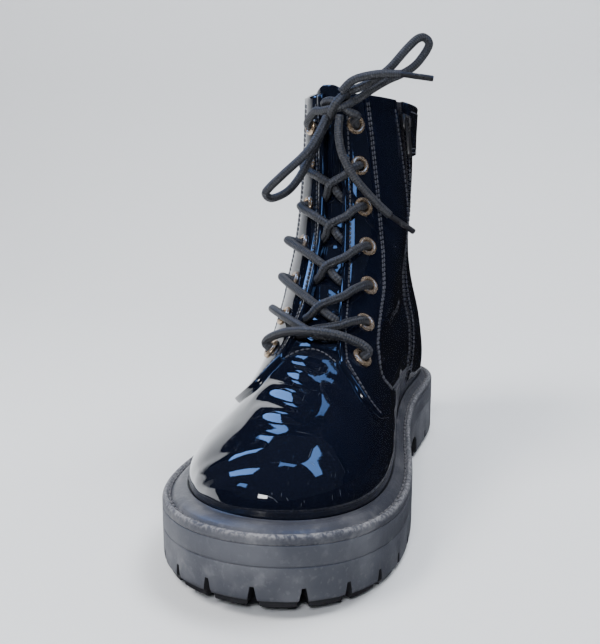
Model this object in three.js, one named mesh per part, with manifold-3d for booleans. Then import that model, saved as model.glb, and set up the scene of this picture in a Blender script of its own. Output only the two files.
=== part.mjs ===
import * as THREE from 'three';
import { mergeVertices } from 'three/addons/utils/BufferGeometryUtils.js';
import Module from 'manifold-3d';

const wasm = await Module();
wasm.setup();

// Right combat boot, in millimetres. Z is up, the toe points to -Y and the medial side to +X.
// The surfaces are worked out in shoe coordinates: x to the medial side, ahead from the back
// of the heel to the toe, and z from the floor. The group at the end centres them.

// Last and upper
const footLength = 262;
const ballWidth = 86;
const instepHeight = 92;
const shaftHeight = 157;
const shaftWidth = 54;
const shaftDepth = 111;
const shaftBack = 6;
const waistBend = 3;
const toeBend = 8;
const upperWall = 2.2;
const gap = 0.3;
const overlayGap = 0.4;

// Sole stack
const heelSeat = 31;
const foreSeat = 24;
const toeSpring = 5;
const weltThickness = 5;
const weltLip = 5;
const stormHeight = 5.9;
const stormStand = 1.3;
const stormDrop = 0.3;
const midsoleThickness = 8;
const insoleThickness = 4;
const heelMargin = 8;
const sideMargin = 8.5;
const toeMargin = 15;
const edgeBevel = 0.7;
const treadStep = 2.4;
const treadInset = 1.9;
const sideInset = 0.4;
const archHeight = 15;
const heelLength = 77;
const archLength = 57;
const notchPitch = 19;
const notchPhase = 3;
const notchHeight = 7.5;
const notchWidth = 4.4;
const notchTopWidth = 1.6;
const notchDepth = 13;
const channelInset = 15;
const channelWidth = 4;
const treadDepth = 6;
const treadBarPitch = 19;

// Throat, facings and tongue
const throatStart = 0.487;
const laceCentre = -0.012;
const facingThickness = 1.2;
const throatSetback = 0.006;
const tongueThickness = 3;
const tongueClearance = 0.6;
const tongueTop = 1.022;
const tongueLean = 0.035;
const tongueLeanStart = 0.85;
const tongueFoot = 0.43;
const tongueHalf = 0.195;

// Eyelets
const eyeletCount = 7;
const eyeletBore = 5.2;
const eyeletBarrel = 6.2;
const eyeletFlange = 9.5;
const eyeletCrown = 1.35;
const topEyelet = 0.932;
const eyeletStep = 0.0835;

// Zip on the medial side
const zipAhead = 75;
const zipSlot = 9;
const zipFoot = 0.075;
const tapeThickness = 1;
const tapeDepth = 0.9;
const chainWidth = 4.4;
const chainHeight = 1.2;
const sliderPlace = 0.945;
const sliderLength = 8.5;
const sliderWidth = 7.2;
const sliderThickness = 1.4;
const bridgeWidth = 1.6;
const bridgeHeight = 2.6;
const bridgeWall = 1.2;
const pullWidth = 5;
const pullLength = 18;
const pullThickness = 1.1;
const pullBar = 0.9;
const pullWindow = 4.8;
const pullCorner = 1.5;
const pullPlay = 0.5;
const hingeDrop = 0.6;

// Rear collar panel
const collarPanelHeight = 24;
const collarPanelThickness = 1.6;
const collarPanelSide = 0.56;

// Lace. bowReach is the scale of the bow's points; knotWide, knotDeep and knotTall are half sizes.
const laceDiameter = 4;
const laceStand = 0.35;
const laceEndClear = 0.036;
const laceEndOff = 0;
const crossingOver = 3.4;
const crossingUnder = 0.6;
const knotPlace = 0.965;
const knotSide = 0.045;
const knotStand = 7.4;
const knotWide = 7;
const knotDeep = 4.6;
const knotTall = 5.6;
const bowReach = 50;
const agletDiameter = 2.8;
const agletLength = 15;

// Foot rows. back and front are shares of footLength, the rises are shares of instepHeight,
// hug is how far the row follows the bend of the seat, w12 to w92 are half widths at 12, 42,
// 68 and 92 percent of the row's length and backX and frontX its ends, in shares of ballWidth.
const footRows = [
  { back: 0.008, front: 0.996, backRise: 0, frontRise: 0, hug: 1, w12: 0.325, w42: 0.372, w68: 0.48, w92: 0.365, backX: 0, frontX: 0 },
  { back: -0.004, front: 1.003, backRise: 0.13, frontRise: 0.13, hug: 1, w12: 0.343, w42: 0.384, w68: 0.495, w92: 0.39, backX: 0, frontX: 0.012 },
  { back: -0.011, front: 0.986, backRise: 0.25, frontRise: 0.232, hug: 1, w12: 0.343, w42: 0.384, w68: 0.455, w92: 0.36, backX: -0.012, frontX: 0.047 },
  { back: -0.015, front: 0.949, backRise: 0.38, frontRise: 0.332, hug: 1, w12: 0.325, w42: 0.372, w68: 0.385, w92: 0.308, backX: -0.023, frontX: 0.093 },
  { back: -0.011, front: 0.894, backRise: 0.51, frontRise: 0.42, hug: 1, w12: 0.302, w42: 0.355, w68: 0.331, w92: 0.256, backX: -0.035, frontX: 0.122 },
  { back: 0, front: 0.822, backRise: 0.63, frontRise: 0.503, hug: 0.8, w12: 0.279, w42: 0.331, w68: 0.308, w92: 0.227, backX: -0.052, frontX: 0.122 },
  { back: 0.015, front: 0.74, backRise: 0.75, frontRise: 0.61, hug: 0.6, w12: 0.262, w42: 0.314, w68: 0.308, w92: 0.203, backX: -0.058, frontX: 0.11 },
  { back: 0.031, front: 0.66, backRise: 0.87, frontRise: 0.73, hug: 0.4, w12: 0.25, w42: 0.302, w68: 0.314, w92: 0.192, backX: -0.058, frontX: 0.093 },
  { back: 0.042, front: 0.592, backRise: 1, frontRise: 0.88, hug: 0.2, w12: 0.244, w42: 0.302, w68: 0.32, w92: 0.186, backX: -0.058, frontX: 0.07 },
];

// Shaft rows. back and front are shares of shaftDepth from shaftBack, the rises run from
// instepHeight to shaftHeight, and the widths and end places are shares of shaftWidth.
const shaftRows = [
  { back: 0.054, front: 1.216, backRise: 0.185, frontRise: 0.077, w12: 0.38, w42: 0.49, w68: 0.51, w92: 0.287, backX: -0.083, frontX: 0.074 },
  { back: 0.054, front: 1.126, backRise: 0.385, frontRise: 0.323, w12: 0.37, w42: 0.5, w68: 0.5, w92: 0.278, backX: -0.074, frontX: 0.028 },
  { back: 0.036, front: 1.063, backRise: 0.6, frontRise: 0.6, w12: 0.36, w42: 0.5, w68: 0.48, w92: 0.268, backX: -0.074, frontX: -0.01 },
  { back: 0.018, front: 1.027, backRise: 0.8, frontRise: 0.877, w12: 0.352, w42: 0.5, w68: 0.454, w92: 0.26, backX: -0.074, frontX: -0.046 },
  { back: 0, front: 1, backRise: 1, frontRise: 1.138, w12: 0.352, w42: 0.5, w68: 0.435, w92: 0.25, backX: -0.074, frontX: -0.074 },
];

// Facing panel, from its lower corner to the collar: place up the upper, front edge and rear
// seam, both counted round the upper from the lacing's centre line.
const facingRows = [
  { place: 0.212, edge: 0.345, seam: 0.45 },
  { place: 0.235, edge: 0.305, seam: 0.432 },
  { place: 0.31, edge: 0.235, seam: 0.372 },
  { place: 0.39, edge: 0.165, seam: 0.322 },
  { place: 0.44, edge: 0.118, seam: 0.298 },
  { place: 0.49, edge: 0.098, seam: 0.288 },
  { place: 0.58, edge: 0.078, seam: 0.29 },
  { place: 0.7, edge: 0.058, seam: 0.262 },
  { place: 0.83, edge: 0.052, seam: 0.246 },
  { place: 1, edge: 0.046, seam: 0.226 },
];

// Distance of each eyelet from the lacing's centre line, round the upper, from the top.
const eyeletReach = [0.133, 0.145, 0.16, 0.18, 0.2, 0.204, 0.206];

// How far each crossing's strands fall from their eyelets to their ends, in eyelet steps.
const crossingDrop = [0.72, 0.72, 0.72, 0.72, 0.17];

// Points of the bow from the knot's centre, in shares of bowReach: x, ahead and z.
const upperLoop = [
  [0.085, -0.02, 0.125], [0.27, -0.06, 0.2], [0.46, -0.11, 0.33], [0.62, -0.18, 0.52], [0.71, -0.26, 0.62],
  [0.77, -0.32, 0.63], [0.8, -0.35, 0.56], [0.7, -0.31, 0.4], [0.58, -0.27, 0.31], [0.43, -0.22, 0.24],
  [0.27, -0.16, 0.14], [0.18, -0.06, 0.04],
];
const lowerLoop = [
  [-0.085, 0.06, -0.09], [-0.15, 0.16, -0.28], [-0.24, 0.23, -0.44], [-0.44, 0.32, -0.64], [-0.58, 0.33, -0.77],
  [-0.62, 0.32, -0.83], [-0.57, 0.27, -0.87], [-0.44, 0.22, -0.81], [-0.34, 0.17, -0.69], [-0.26, 0.11, -0.52],
  [-0.19, 0.05, -0.35], [-0.13, 0.02, -0.21], [-0.09, -0.02, -0.14],
];
const upperEnd = [[0.05, 0.08, 0.12], [0.17, 0.06, 0.23], [0.38, 0.03, 0.28], [0.61, -0.01, 0.28]];
const lowerEnd = [
  [0.05, 0.11, -0.09], [0.05, 0.14, -0.27], [0.1, 0.16, -0.47], [0.22, 0.15, -0.68], [0.38, 0.07, -0.88],
  [0.52, -0.02, -1.03],
];

// How far the sole stands out, in shares of the margin named: u runs round the outline from
// the toe, in tenths of the way from toe to heel, on the lateral and the medial side.
const marginRows = [
  { lateral: 1, medial: 1, of: toeMargin },
  { lateral: 1.45, medial: 1.3, of: sideMargin },
  { lateral: 0.95, medial: 1.1, of: sideMargin },
  { lateral: 0.9, medial: 0.9, of: sideMargin },
  { lateral: 0.9, medial: 1, of: heelMargin },
  { lateral: 1, medial: 1, of: heelMargin },
];

// Section of the welt's lip and stitching groove, from its foot inward, in shares of weltLip
// and weltThickness.
const weltRows = [
  { inset: 0.14, rise: 0 }, { inset: 0.03, rise: 0.14 }, { inset: 0, rise: 0.54 }, { inset: 0.12, rise: 0.84 },
  { inset: 0.38, rise: 1 }, { inset: 0.66, rise: 0.9 }, { inset: 0.82, rise: 0.6 }, { inset: 1, rise: 0.8 },
];

const widthStations = [0.12, 0.42, 0.68, 0.92];
const rowKeys = ['back', 'front', 'backRise', 'frontRise', 'hug', 'w12', 'w42', 'w68', 'w92', 'backX', 'frontX'];
const lastRows = [
  ...footRows.map((r) => [
    r.back * footLength, r.front * footLength, r.backRise * instepHeight, r.frontRise * instepHeight, r.hug,
    r.w12 * ballWidth, r.w42 * ballWidth, r.w68 * ballWidth, r.w92 * ballWidth,
    r.backX * ballWidth, r.frontX * ballWidth,
  ]),
  ...shaftRows.map((r) => [
    shaftBack + r.back * shaftDepth,
    shaftBack + r.front * shaftDepth,
    THREE.MathUtils.lerp(instepHeight, shaftHeight, r.backRise),
    THREE.MathUtils.lerp(instepHeight, shaftHeight, r.frontRise), 0,
    r.w12 * shaftWidth, r.w42 * shaftWidth, r.w68 * shaftWidth, r.w92 * shaftWidth,
    r.backX * shaftWidth, r.frontX * shaftWidth,
  ]),
];

// Uniform cubic B-spline weights for a place t between two rows.
function splineWeights(t) {
  const s = 1 - t;
  return [
    (s * s * s) / 6,
    (3 * t * t * t - 6 * t * t + 4) / 6,
    (-3 * t * t * t + 3 * t * t + 3 * t + 1) / 6,
    (t * t * t) / 6,
  ];
}

// Value of the cubic through four stations.
function lagrange(stations, values, t) {
  return values.reduce((sum, value, i) => {
    const weight = stations.reduce((w, s, j) => (j === i ? w : (w * (t - s)) / (stations[i] - s)), 1);
    return sum + value * weight;
  }, 0);
}

// Value in a table of rows with a place column, by straight lines between rows.
function tableValue(rows, column, place) {
  const last = rows.length - 1;
  let i = rows.findIndex((r) => r.place >= place);
  if (i === -1) i = last;
  if (i === 0) i = 1;
  const a = rows[i - 1];
  const b = rows[i];
  return THREE.MathUtils.lerp(a[column], b[column], (place - a.place) / (b.place - a.place));
}

// The last's row at a place v from the feather line, 0, to the collar, 1. Past the collar it
// runs straight on.
function rowAt(v) {
  const last = lastRows.length - 1;
  const inside = Math.min(Math.max(v, 0), 1) * last;
  const i = Math.min(Math.floor(inside), last - 1);
  const w = splineWeights(inside - i);
  const pick = (k, c) => {
    if (k < 0) return 2 * lastRows[0][c] - lastRows[1][c];
    if (k > last) return 2 * lastRows[last][c] - lastRows[last - 1][c];
    return lastRows[k][c];
  };
  const beyond = Math.max(v - 1, 0) * last;
  const row = {};
  rowKeys.forEach((key, c) => {
    const slope = lastRows[last][c] - lastRows[last - 1][c];
    row[key] = w.reduce((sum, weight, k) => sum + weight * pick(i - 1 + k, c), 0) + beyond * slope;
  });
  return row;
}

// Height of the seat on which the upper stands.
const seatStart = 0.229 * footLength;
const seatFall = 0.439 * footLength;
const springStart = 0.725 * footLength;
const springLength = 0.32 * footLength;
function seatHeight(ahead) {
  const t = Math.min(Math.max((ahead - seatStart) / seatFall, 0), 1);
  const ease = t * t * t * (t * (6 * t - 15) + 10);
  const toe = Math.max((ahead - springStart) / springLength, 0);
  return heelSeat + (foreSeat - heelSeat) * ease + toeSpring * toe * toe;
}

// Sideways bend of the foot's centre line, to the medial side at the toe of a right foot.
function footBend(ahead) {
  const t = Math.min(Math.max(ahead / footLength, -0.05), 1.08);
  return lagrange([0, 0.4, 0.7, 1], [0, -waistBend, 0, toeBend], t);
}

// Outside of the upper. u runs round it from -1, the back, by the lateral side to 0, the
// front, and by the medial side to 1, the back. v runs up from the feather line.
function lastPoint(u, v) {
  const row = rowAt(v);
  const theta = Math.PI * u;
  const along = (1 + Math.cos(theta)) / 2;
  const ahead = row.back + (row.front - row.back) * along;
  const bulge = [row.w12, row.w42, row.w68, row.w92].map(
    (w, i) => w / Math.sqrt(4 * widthStations[i] * (1 - widthStations[i])));
  const half = Math.sin(theta) * lagrange(widthStations, bulge, along);
  const backSeat = seatHeight(row.back);
  const chord = backSeat + (seatHeight(row.front) - backSeat) * along;
  const rise = row.backRise + (row.frontRise - row.backRise) * along;
  return new THREE.Vector3(
    half + row.hug * footBend(ahead) + row.backX + (row.frontX - row.backX) * along,
    ahead,
    chord + rise + row.hug * (seatHeight(ahead) - chord));
}

// Outward direction of the upper's outside.
const probe = 0.001;
function lastNormal(u, v) {
  const low = Math.max(v - probe, 0);
  const round = lastPoint(u + probe, v).sub(lastPoint(u - probe, v));
  const up = lastPoint(u, v + probe).sub(lastPoint(u, low));
  return round.cross(up).negate().normalize();
}

// Point at a distance outside the upper's outside, or inside it where off is negative.
function skin(u, v, off) {
  return lastPoint(u, v).addScaledVector(lastNormal(u, v), off);
}

// Place round the upper, on the medial side, of a length ahead at a height v.
function roundAt(v, ahead) {
  const row = rowAt(v);
  const along = (ahead - row.back) / (row.front - row.back);
  return Math.acos(2 * along - 1) / Math.PI;
}

// How far the sole stands out from the feather line at a place round it.
function soleMargin(u) {
  const last = marginRows.length - 1;
  const place = Math.abs(u) * last;
  const i = Math.min(Math.floor(place), last - 1);
  const pick = (k) => {
    const mirrored = k < 0 || k > last;
    const row = marginRows[k < 0 ? -k : k > last ? 2 * last - k : k];
    const medial = u > 0 !== mirrored;
    return (medial ? row.medial : row.lateral) * row.of;
  };
  return splineWeights(place - i).reduce((sum, w, k) => sum + w * pick(i - 1 + k), 0);
}

// Plan point of the sole's edge, moved inward by inset, at height 0.
function soleEdge(u, inset) {
  const base = lastPoint(u, 0);
  const tangent = lastPoint(u + probe, 0).sub(lastPoint(u - probe, 0));
  const outward = new THREE.Vector3(-tangent.y, tangent.x, 0).normalize();
  base.addScaledVector(outward, soleMargin(u) - inset);
  base.z = 0;
  return base;
}

// From shoe coordinates to the part's axes, where the toe points to -Y.
function toPart(p) {
  return [p.x, -p.y, p.z];
}

// Geometry from points and faces in shoe coordinates. The flip to the part's axes turns each
// face over, so its corners are taken in reverse.
function geometryFrom(points, faces) {
  const geometry = new THREE.BufferGeometry();
  geometry.setAttribute('position', new THREE.Float32BufferAttribute(points.flatMap(toPart), 3));
  geometry.setIndex(faces.flatMap(([a, b, c]) => [a, c, b]));
  return geometry;
}

// Closed solid from rings of equal count. Rings run up the outside; a hollow one goes on
// down the inside and closes on its first ring, a solid one is capped across at both ends.
function ringSolid(rings, hollow) {
  const count = rings[0].length;
  const points = rings.flat();
  const faces = [];
  const at = (r, i) => (r % rings.length) * count + ((i + count) % count);
  const bands = hollow ? rings.length : rings.length - 1;
  for (let r = 0; r < bands; r += 1) {
    for (let i = 0; i < count; i += 1) {
      faces.push([at(r, i), at(r + 1, i), at(r, i + 1)]);
      faces.push([at(r, i + 1), at(r + 1, i), at(r + 1, i + 1)]);
    }
  }
  if (!hollow) {
    const top = rings.length - 1;
    for (let i = 0; i < count / 2; i += 1) {
      const a = i;
      const b = i + 1;
      const c = count - i;
      const d = count - i - 1;
      if (i > 0) {
        faces.push([at(0, a), at(0, b), at(0, c)]);
        faces.push([at(top, a), at(top, c), at(top, b)]);
      }
      if (b < d) {
        faces.push([at(0, b), at(0, d), at(0, c)]);
        faces.push([at(top, b), at(top, c), at(top, d)]);
      }
    }
  }
  return geometryFrom(points, faces);
}

// Slab over a patch of the upper: places up it, edges round it at each place, and the two
// distances from its outside.
function patchSolid(places, edges, columns, low, high) {
  const points = [];
  const faces = [];
  const width = columns + 1;
  const layer = places.length * width;
  [high, low].forEach((off) => {
    places.forEach((v) => {
      const [from, to] = edges(v);
      for (let i = 0; i < width; i += 1) {
        const u = THREE.MathUtils.lerp(from, to, i / columns);
        points.push(skin(u, v, typeof off === 'function' ? off(u, v) : off));
      }
    });
  });
  const quad = (a, b, c, d) => {
    faces.push([a, b, c]);
    faces.push([a, c, d]);
  };
  for (let j = 0; j < places.length - 1; j += 1) {
    for (let i = 0; i < columns; i += 1) {
      const a = j * width + i;
      quad(a, a + width, a + width + 1, a + 1);
      quad(layer + a, layer + a + 1, layer + a + width + 1, layer + a + width);
    }
    const start = j * width;
    const end = start + columns;
    quad(start, layer + start, layer + start + width, start + width);
    quad(end, end + width, layer + end + width, layer + end);
  }
  const topRow = (places.length - 1) * width;
  for (let i = 0; i < columns; i += 1) {
    quad(i, i + 1, layer + i + 1, layer + i);
    quad(topRow + i, layer + topRow + i, layer + topRow + i + 1, topRow + i + 1);
  }
  return geometryFrom(points, faces);
}

// Even steps from one number to another.
function steps(from, to, count) {
  return Array.from({ length: count + 1 }, (_, i) => THREE.MathUtils.lerp(from, to, i / count));
}

// Geometry to a solid and back.
function toSolid(geometry) {
  const bare = geometry.clone();
  bare.deleteAttribute('normal');
  bare.deleteAttribute('uv');
  const merged = mergeVertices(bare, 1e-4);
  return new wasm.Manifold(new wasm.Mesh({
    numProp: 3,
    vertProperties: new Float32Array(merged.attributes.position.array),
    triVerts: new Uint32Array(merged.index.array),
  }));
}

function toGeometry(solid) {
  const mesh = solid.getMesh();
  const geometry = new THREE.BufferGeometry();
  geometry.setAttribute('position', new THREE.BufferAttribute(new Float32Array(mesh.vertProperties), 3));
  geometry.setIndex(new THREE.BufferAttribute(new Uint32Array(mesh.triVerts), 1));
  return geometry;
}

function cut(base, cutters) {
  return cutters.reduce((solid, cutter) => solid.subtract(toSolid(cutter)), toSolid(base));
}

function join(pieces) {
  return pieces.slice(1).reduce((solid, piece) => solid.add(toSolid(piece)), toSolid(pieces[0]));
}

const boot = new THREE.Group();
const leather = { color: 0x0a0b10, roughness: 0.08, metalness: 0 };
const rubber = { color: 0x4b505a, roughness: 0.75, metalness: 0 };
const lining = { color: 0x2b2c30, roughness: 0.9, metalness: 0 };
const webbing = { color: 0x2a2830, roughness: 0.85, metalness: 0 };
const metal = { color: 0xd8c39a, roughness: 0.2, metalness: 1 };
const darkMetal = { color: 0x2c2c30, roughness: 0.35, metalness: 1 };
const cordage = { color: 0x2e2f33, roughness: 0.7, metalness: 0 };
const agletFilm = { color: 0x101014, roughness: 0.25, metalness: 0 };

function addPiece(name, geometry, finish) {
  const mesh = new THREE.Mesh(geometry, new THREE.MeshStandardMaterial(finish));
  mesh.name = name;
  boot.add(mesh);
  return mesh;
}

// Places round a ring, from the front by the medial side to the back and home again.
function ringPlaces(count) {
  return Array.from({ length: count }, (_, i) => (i <= count / 2 ? (2 * i) / count : (2 * i) / count - 2));
}
const upperColumns = ringPlaces(40);
const soleColumns = ringPlaces(64);
const channelColumns = ringPlaces(36);

function facingEdge(v) {
  return tableValue(facingRows, 'edge', v);
}

function facingSeam(v) {
  return tableValue(facingRows, 'seam', v);
}

function eyeletPlace(side, i) {
  return { u: laceCentre + side * eyeletReach[i], v: topEyelet - eyeletStep * i };
}

// A frame on the upper: x round it, y up it and z outward, standing at a distance off.
function surfaceFrame(u, v, off) {
  const place = new THREE.Vector3(...toPart(skin(u, v, off)));
  const outward = new THREE.Vector3(...toPart(lastNormal(u, v)));
  const above = new THREE.Vector3(...toPart(lastPoint(u, v + probe)));
  const up = above.sub(new THREE.Vector3(...toPart(lastPoint(u, v))));
  up.addScaledVector(outward, -up.dot(outward)).normalize();
  const across = new THREE.Vector3().crossVectors(up, outward);
  return new THREE.Matrix4().makeBasis(across, up, outward).setPosition(place);
}

// Outsole: side wall that steps in to the tread, cut by the arch, edge notches and tread channels.
const outsoleTop = (ahead) => seatHeight(ahead) - midsoleThickness - 2 * gap;
function treadHeight(ahead) {
  const toe = Math.max((ahead - springStart - 0.06 * footLength) / (0.265 * footLength), 0);
  return toeSpring * toe * toe;
}

function levelRing(inset, height, columns = soleColumns) {
  return columns.map((u) => {
    const p = soleEdge(u, inset);
    p.z = height(p.y);
    return p;
  });
}

function archCutter() {
  const breast = heelLength;
  const end = heelLength + archLength;
  const profile = new THREE.Shape();
  profile.moveTo(breast - 1, -1);
  profile.lineTo(breast + 1.5, archHeight * 0.7);
  profile.quadraticCurveTo(breast + 4, archHeight, breast + 0.25 * archLength, archHeight);
  profile.lineTo(end - 0.35 * archLength, archHeight);
  profile.quadraticCurveTo(end - 0.2 * archLength, archHeight, end, -1);
  profile.closePath();
  const geometry = new THREE.ExtrudeGeometry(profile, { depth: 2 * ballWidth, bevelEnabled: false, curveSegments: 3 });
  // The profile's plane is turned to stand along the shoe, with its depth across it.
  const turn = new THREE.Matrix4().makeBasis(
    new THREE.Vector3(0, -1, 0), new THREE.Vector3(0, 0, 1), new THREE.Vector3(-1, 0, 0));
  turn.setPosition(ballWidth, 0, 0);
  geometry.applyMatrix4(turn);
  return geometry;
}

// Notches stand at equal steps along the sole's edge, counted both ways from the toe for
// the forefoot and from the back for the heel.
function notchPlaces() {
  const places = [];
  const keepClear = notchPitch / 2;
  const walk = (start, direction, inside, lead) => {
    let u = start;
    let travelled = notchPitch - lead;
    let from = soleEdge(u, 0);
    while (Math.abs(u - start) < 1) {
      if (travelled >= notchPitch) {
        if (!inside(from.y)) return;
        places.push(u);
        travelled -= notchPitch;
      }
      u += direction * 0.002;
      const to = soleEdge(u, 0);
      travelled += to.distanceTo(from);
      from = to;
    }
  };
  const fore = (ahead) => ahead > heelLength + archLength + keepClear;
  const heel = (ahead) => ahead < heelLength - keepClear;
  walk(0, 1, fore, notchPhase);
  walk(0, -1, fore, notchPitch - notchPhase);
  walk(1, -1, heel, 0);
  walk(-1, 1, heel, notchPitch);
  return places;
}

function notchCutter(u) {
  const shape = new THREE.Shape();
  const skirt = notchWidth / notchHeight;
  shape.moveTo(-notchWidth / 2 - skirt / 2, -1);
  shape.lineTo(notchWidth / 2 + skirt / 2, -1);
  shape.lineTo(notchTopWidth / 2, notchHeight);
  shape.lineTo(-notchTopWidth / 2, notchHeight);
  shape.closePath();
  const outer = 3;
  const geometry = new THREE.ExtrudeGeometry(shape, { depth: notchDepth + outer, bevelEnabled: false });
  const edge = soleEdge(u, -outer);
  const inner = soleEdge(u, notchDepth);
  const inward = new THREE.Vector3(...toPart(inner)).sub(new THREE.Vector3(...toPart(edge))).normalize();
  const up = new THREE.Vector3(0, 0, 1);
  const across = new THREE.Vector3().crossVectors(up, inward);
  const place = new THREE.Matrix4().makeBasis(across, up, inward);
  place.setPosition(...toPart(edge.setZ(treadHeight(edge.y))));
  geometry.applyMatrix4(place);
  return geometry;
}

function treadChannel() {
  const low = (ahead) => treadHeight(ahead) - 1;
  const high = (ahead) => treadHeight(ahead) + treadDepth;
  const outer = channelInset;
  const inner = channelInset + channelWidth;
  return ringSolid([
    levelRing(outer, low, channelColumns), levelRing(outer, high, channelColumns),
    levelRing(inner, high, channelColumns), levelRing(inner, low, channelColumns),
  ], true);
}

// Slots across the tread between the two runs of the channel.
function treadSlots() {
  const slots = [];
  const reach = channelInset + channelWidth / 2;
  const wide = new THREE.Vector3();
  for (let ahead = treadBarPitch; ahead < footLength - treadBarPitch; ahead += treadBarPitch) {
    const clearOfArch = ahead < heelLength - treadBarPitch / 2 || ahead > heelLength + archLength + treadBarPitch / 2;
    if (clearOfArch) {
      const u = roundAt(0, ahead);
      wide.copy(soleEdge(u, reach));
      const left = soleEdge(-u, reach).x;
      const geometry = new THREE.BoxGeometry(wide.x - left, channelWidth, treadDepth + 1);
      geometry.translate((wide.x + left) / 2, -ahead, treadHeight(ahead) + (treadDepth - 1) / 2);
      slots.push(geometry);
    }
  }
  return slots;
}

const outsole = cut(
  ringSolid([
    levelRing(treadInset, treadHeight),
    levelRing(treadInset, (a) => treadHeight(a) + treadStep),
    levelRing(sideInset, (a) => treadHeight(a) + treadStep + sideInset),
    levelRing(0, (a) => outsoleTop(a) - edgeBevel),
    levelRing(edgeBevel, outsoleTop),
  ], false),
  [archCutter(), treadChannel(), ...treadSlots(), ...notchPlaces().map(notchCutter)]);
addPiece('outsole', toGeometry(outsole), rubber);

// Midsole: band between the two side grooves.
const midsoleTop = (ahead) => seatHeight(ahead) - gap;
addPiece('midsole', ringSolid([
  levelRing(edgeBevel, (a) => midsoleTop(a) - midsoleThickness),
  levelRing(0, (a) => midsoleTop(a) - midsoleThickness + edgeBevel),
  levelRing(0, (a) => midsoleTop(a) - edgeBevel),
  levelRing(edgeBevel, midsoleTop),
], false), rubber);

// Welt: rounded lip at the rim, stitching groove, and a storm slope up to the upper.
const stormPlace = stormHeight / (footRows[1].frontRise * instepHeight) / (lastRows.length - 1);
function skinRing(v, off, drop) {
  return soleColumns.map((u) => {
    const p = skin(u, v, off);
    p.z -= drop;
    return p;
  });
}

addPiece('welt', ringSolid([
  ...weltRows.map((row) => levelRing(row.inset * weltLip, (a) => seatHeight(a) + row.rise * weltThickness)),
  skinRing(stormPlace, gap + stormStand, stormDrop),
  skinRing(stormPlace, gap, 0),
  skinRing(0, gap, 0),
], true), rubber);

// Insole, inside the wall of the upper.
function insoleRing(height) {
  return upperColumns.map((u) => {
    const p = skin(u, 0, -upperWall - gap);
    p.z = seatHeight(p.y) + height;
    return p;
  });
}
addPiece('insole', ringSolid([insoleRing(0), insoleRing(insoleThickness)], false), lining);

// Upper: hollow from the feather line to the collar, with throat, zip slot and eyelet holes.
const levels = [...steps(0, 0.42, 11), ...steps(0.42, 1, 9).slice(1)];
function sleeve(high, low) {
  return ringSolid([
    ...levels.map((v) => upperColumns.map((u) => skin(u, v, high))),
    ...levels.slice().reverse().map((v) => upperColumns.map((u) => skin(u, v, low))),
  ], true);
}

const cutOver = 6;
const past = 1.06;
function throatEdges(v) {
  const half = facingEdge(Math.min(v, 1)) + throatSetback;
  return [laceCentre - half, laceCentre + half];
}
function zipEdges(v, half) {
  return [roundAt(v, zipAhead + half), roundAt(v, zipAhead - half)];
}
const throatCutter = patchSolid(steps(throatStart, past, 8), throatEdges, 3, -cutOver, cutOver);
const zipPlaces = steps(zipFoot, 1, 9);
const zipCutter = patchSolid([...zipPlaces, past], (v) => zipEdges(v, zipSlot / 2), 1, -cutOver, cutOver);

const holeRadius = eyeletBarrel / 2 + gap;
function holeCutter(side, i) {
  const { u, v } = eyeletPlace(side, i);
  const cylinder = new THREE.CylinderGeometry(holeRadius, holeRadius, 3 * cutOver, 8);
  cylinder.rotateX(Math.PI / 2);
  cylinder.applyMatrix4(surfaceFrame(u, v, 0));
  return cylinder;
}
// Flat seat that keeps the facing under an eyelet's flange, whatever the facing's curve.
function seatCutter(side, i) {
  const { u, v } = eyeletPlace(side, i);
  const cylinder = new THREE.CylinderGeometry(eyeletFlange / 2 + gap, eyeletFlange / 2 + gap, cutOver, 12);
  cylinder.rotateX(Math.PI / 2);
  cylinder.translate(0, 0, cutOver / 2);
  cylinder.applyMatrix4(surfaceFrame(u, v, overlayGap + facingThickness + gap / 2));
  return cylinder;
}
const sides = [{ name: 'medial', sign: 1 }, { name: 'lateral', sign: -1 }];
const eyeletIndex = steps(0, eyeletCount - 1, eyeletCount - 1);
const holes = sides.map((side) => eyeletIndex.map((i) => holeCutter(side.sign, i)));
const seats = sides.map((side) => eyeletIndex.map((i) => seatCutter(side.sign, i)));
addPiece('upper', toGeometry(cut(sleeve(0, -upperWall), [throatCutter, zipCutter, ...holes.flat()])), leather);

// Overlays are cut from a larger sleeve that lies a gap outside the upper.
function overlay(places, edges, columns, thickness, cutters) {
  const blank = toSolid(sleeve(overlayGap + thickness, overlayGap));
  const panel = blank.intersect(toSolid(patchSolid(places, edges, columns, -1, cutOver)));
  return toGeometry(cutters.reduce((solid, cutter) => solid.subtract(toSolid(cutter)), panel));
}

// Facings that carry the eyelets.
sides.forEach((side, s) => {
  const edges = (v) => {
    const place = Math.min(v, 1);
    const pair = [laceCentre + side.sign * facingEdge(place), laceCentre + side.sign * facingSeam(place)];
    return side.sign > 0 ? pair : pair.reverse();
  };
  const places = [...facingRows.map((r) => r.place), past];
  addPiece(`eyestay_${side.name}`, overlay(places, edges, 3, facingThickness, [...holes[s], ...seats[s]]), leather);
});

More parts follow.
